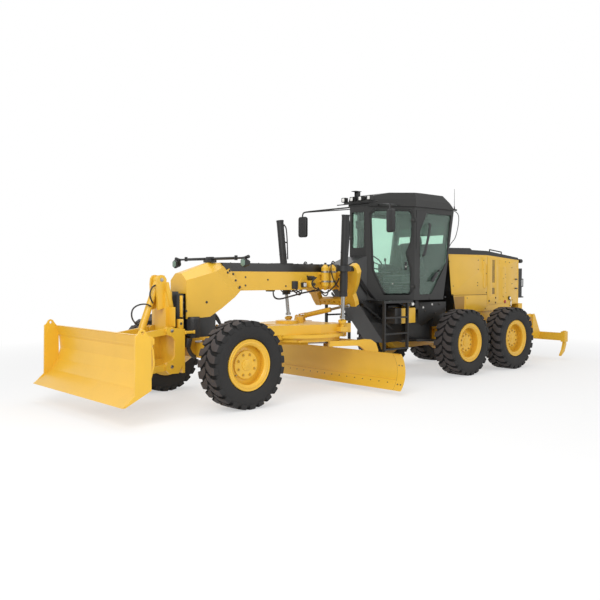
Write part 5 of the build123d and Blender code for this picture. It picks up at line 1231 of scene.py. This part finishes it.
def makeStage(settings):
    bm = bmesh.new()
    bmesh.ops.create_grid(bm, x_segments=1, y_segments=1, size=settings["floorSize"] / 2)
    mesh = bpy.data.meshes.new("studioFloor")
    bm.to_mesh(mesh)
    bm.free()
    floor = bpy.data.objects.new("studioFloor", mesh)
    bpy.context.scene.collection.objects.link(floor)
    material = bpy.data.materials.new("studioFloor")
    material.use_nodes = True
    tree = material.node_tree
    shader = tree.nodes["Principled BSDF"]
    shader.inputs["Base Color"].default_value = (*settings["floorColour"], 1)
    shader.inputs["Roughness"].default_value = 0.9
    shader.inputs["Specular IOR Level"].default_value = 0.1
    glow = addNode(tree, "ShaderNodeEmission")
    glow.inputs["Color"].default_value = (1, 1, 1, 1)
    glow.inputs["Strength"].default_value = settings["backdrop"]
    where = addNode(tree, "ShaderNodeTexCoord")
    length = addNode(tree, "ShaderNodeVectorMath", operation="LENGTH")
    tree.links.new(where.outputs["Object"], length.inputs[0])
    whiter = toRange(tree, length.outputs["Value"], *settings["fade"], settings["floorWhite"], 1.0)
    blendShaders(tree, maths(tree, "MULTIPLY", whiter, seenRay(tree)), shader, glow, "Material Output")
    mesh.materials.append(material)
    world = bpy.data.worlds.new("studio")
    bpy.context.scene.world = world
    world.use_nodes = True
    tree = world.node_tree
    light = tree.nodes["Background"]
    light.inputs["Color"].default_value = (1, 1, 1, 1)
    light.inputs["Strength"].default_value = settings["skyLight"]
    white = addNode(tree, "ShaderNodeBackground")
    white.inputs["Color"].default_value = (1, 1, 1, 1)
    white.inputs["Strength"].default_value = settings["backdrop"]
    blendShaders(tree, seenRay(tree), light, white, "World Output")


makeStage(stageSettings)

lamps = {
    "keyLamp": {"place": (11.0, 6.0, 7.0), "aim": (1.0, 0.0, 1.0), "size": 7.0, "power": 760},
    "sideLamp": {"place": (-6.0, 12.0, 6.0), "aim": (-1.0, 0.0, 1.2), "size": 8.0, "power": 260},
    "topLamp": {"place": (0.0, -2.0, 12.0), "aim": (0.0, 0.0, 0.0), "size": 10.0, "power": 420},
}
for name, lamp in lamps.items():
    light = bpy.data.lights.new(name, "AREA")
    light.shape = "SQUARE"
    light.size = lamp["size"]
    light.energy = lamp["power"]
    holder = bpy.data.objects.new(name, light)
    bpy.context.scene.collection.objects.link(holder)
    line = Vector(lamp["aim"]) - Vector(lamp["place"])
    holder.matrix_world = Matrix.Translation(lamp["place"]) @ line.to_track_quat("-Z", "Y").to_matrix().to_4x4()

cameraSettings = {"place": (6.028, 9.098, 1.816), "heading": -2.2941, "tilt": -0.0321, "roll": 0.00196, "lens": 43.83}


def makeCamera(settings):
    heading, tilt, roll = settings["heading"], settings["tilt"], settings["roll"]
    forward = Vector((math.cos(heading) * math.cos(tilt), math.sin(heading) * math.cos(tilt), math.sin(tilt)))
    right = forward.cross(Vector((0, 0, 1))).normalized()
    up = right.cross(forward)
    turnedRight = right * math.cos(roll) + up * math.sin(roll)
    turnedUp = up * math.cos(roll) - right * math.sin(roll)
    data = bpy.data.cameras.new("photoCamera")
    data.lens = settings["lens"]
    data.sensor_width = 36
    data.clip_end = 200
    camera = bpy.data.objects.new("photoCamera", data)
    bpy.context.scene.collection.objects.link(camera)
    turn = Matrix((turnedRight, turnedUp, -forward)).transposed().to_4x4()
    camera.matrix_world = Matrix.Translation(at(*settings["place"])) @ turn
    bpy.context.scene.camera = camera


makeCamera(cameraSettings)
bpy.context.scene.view_settings.view_transform = "Standard"
print("stage, lights and camera set")
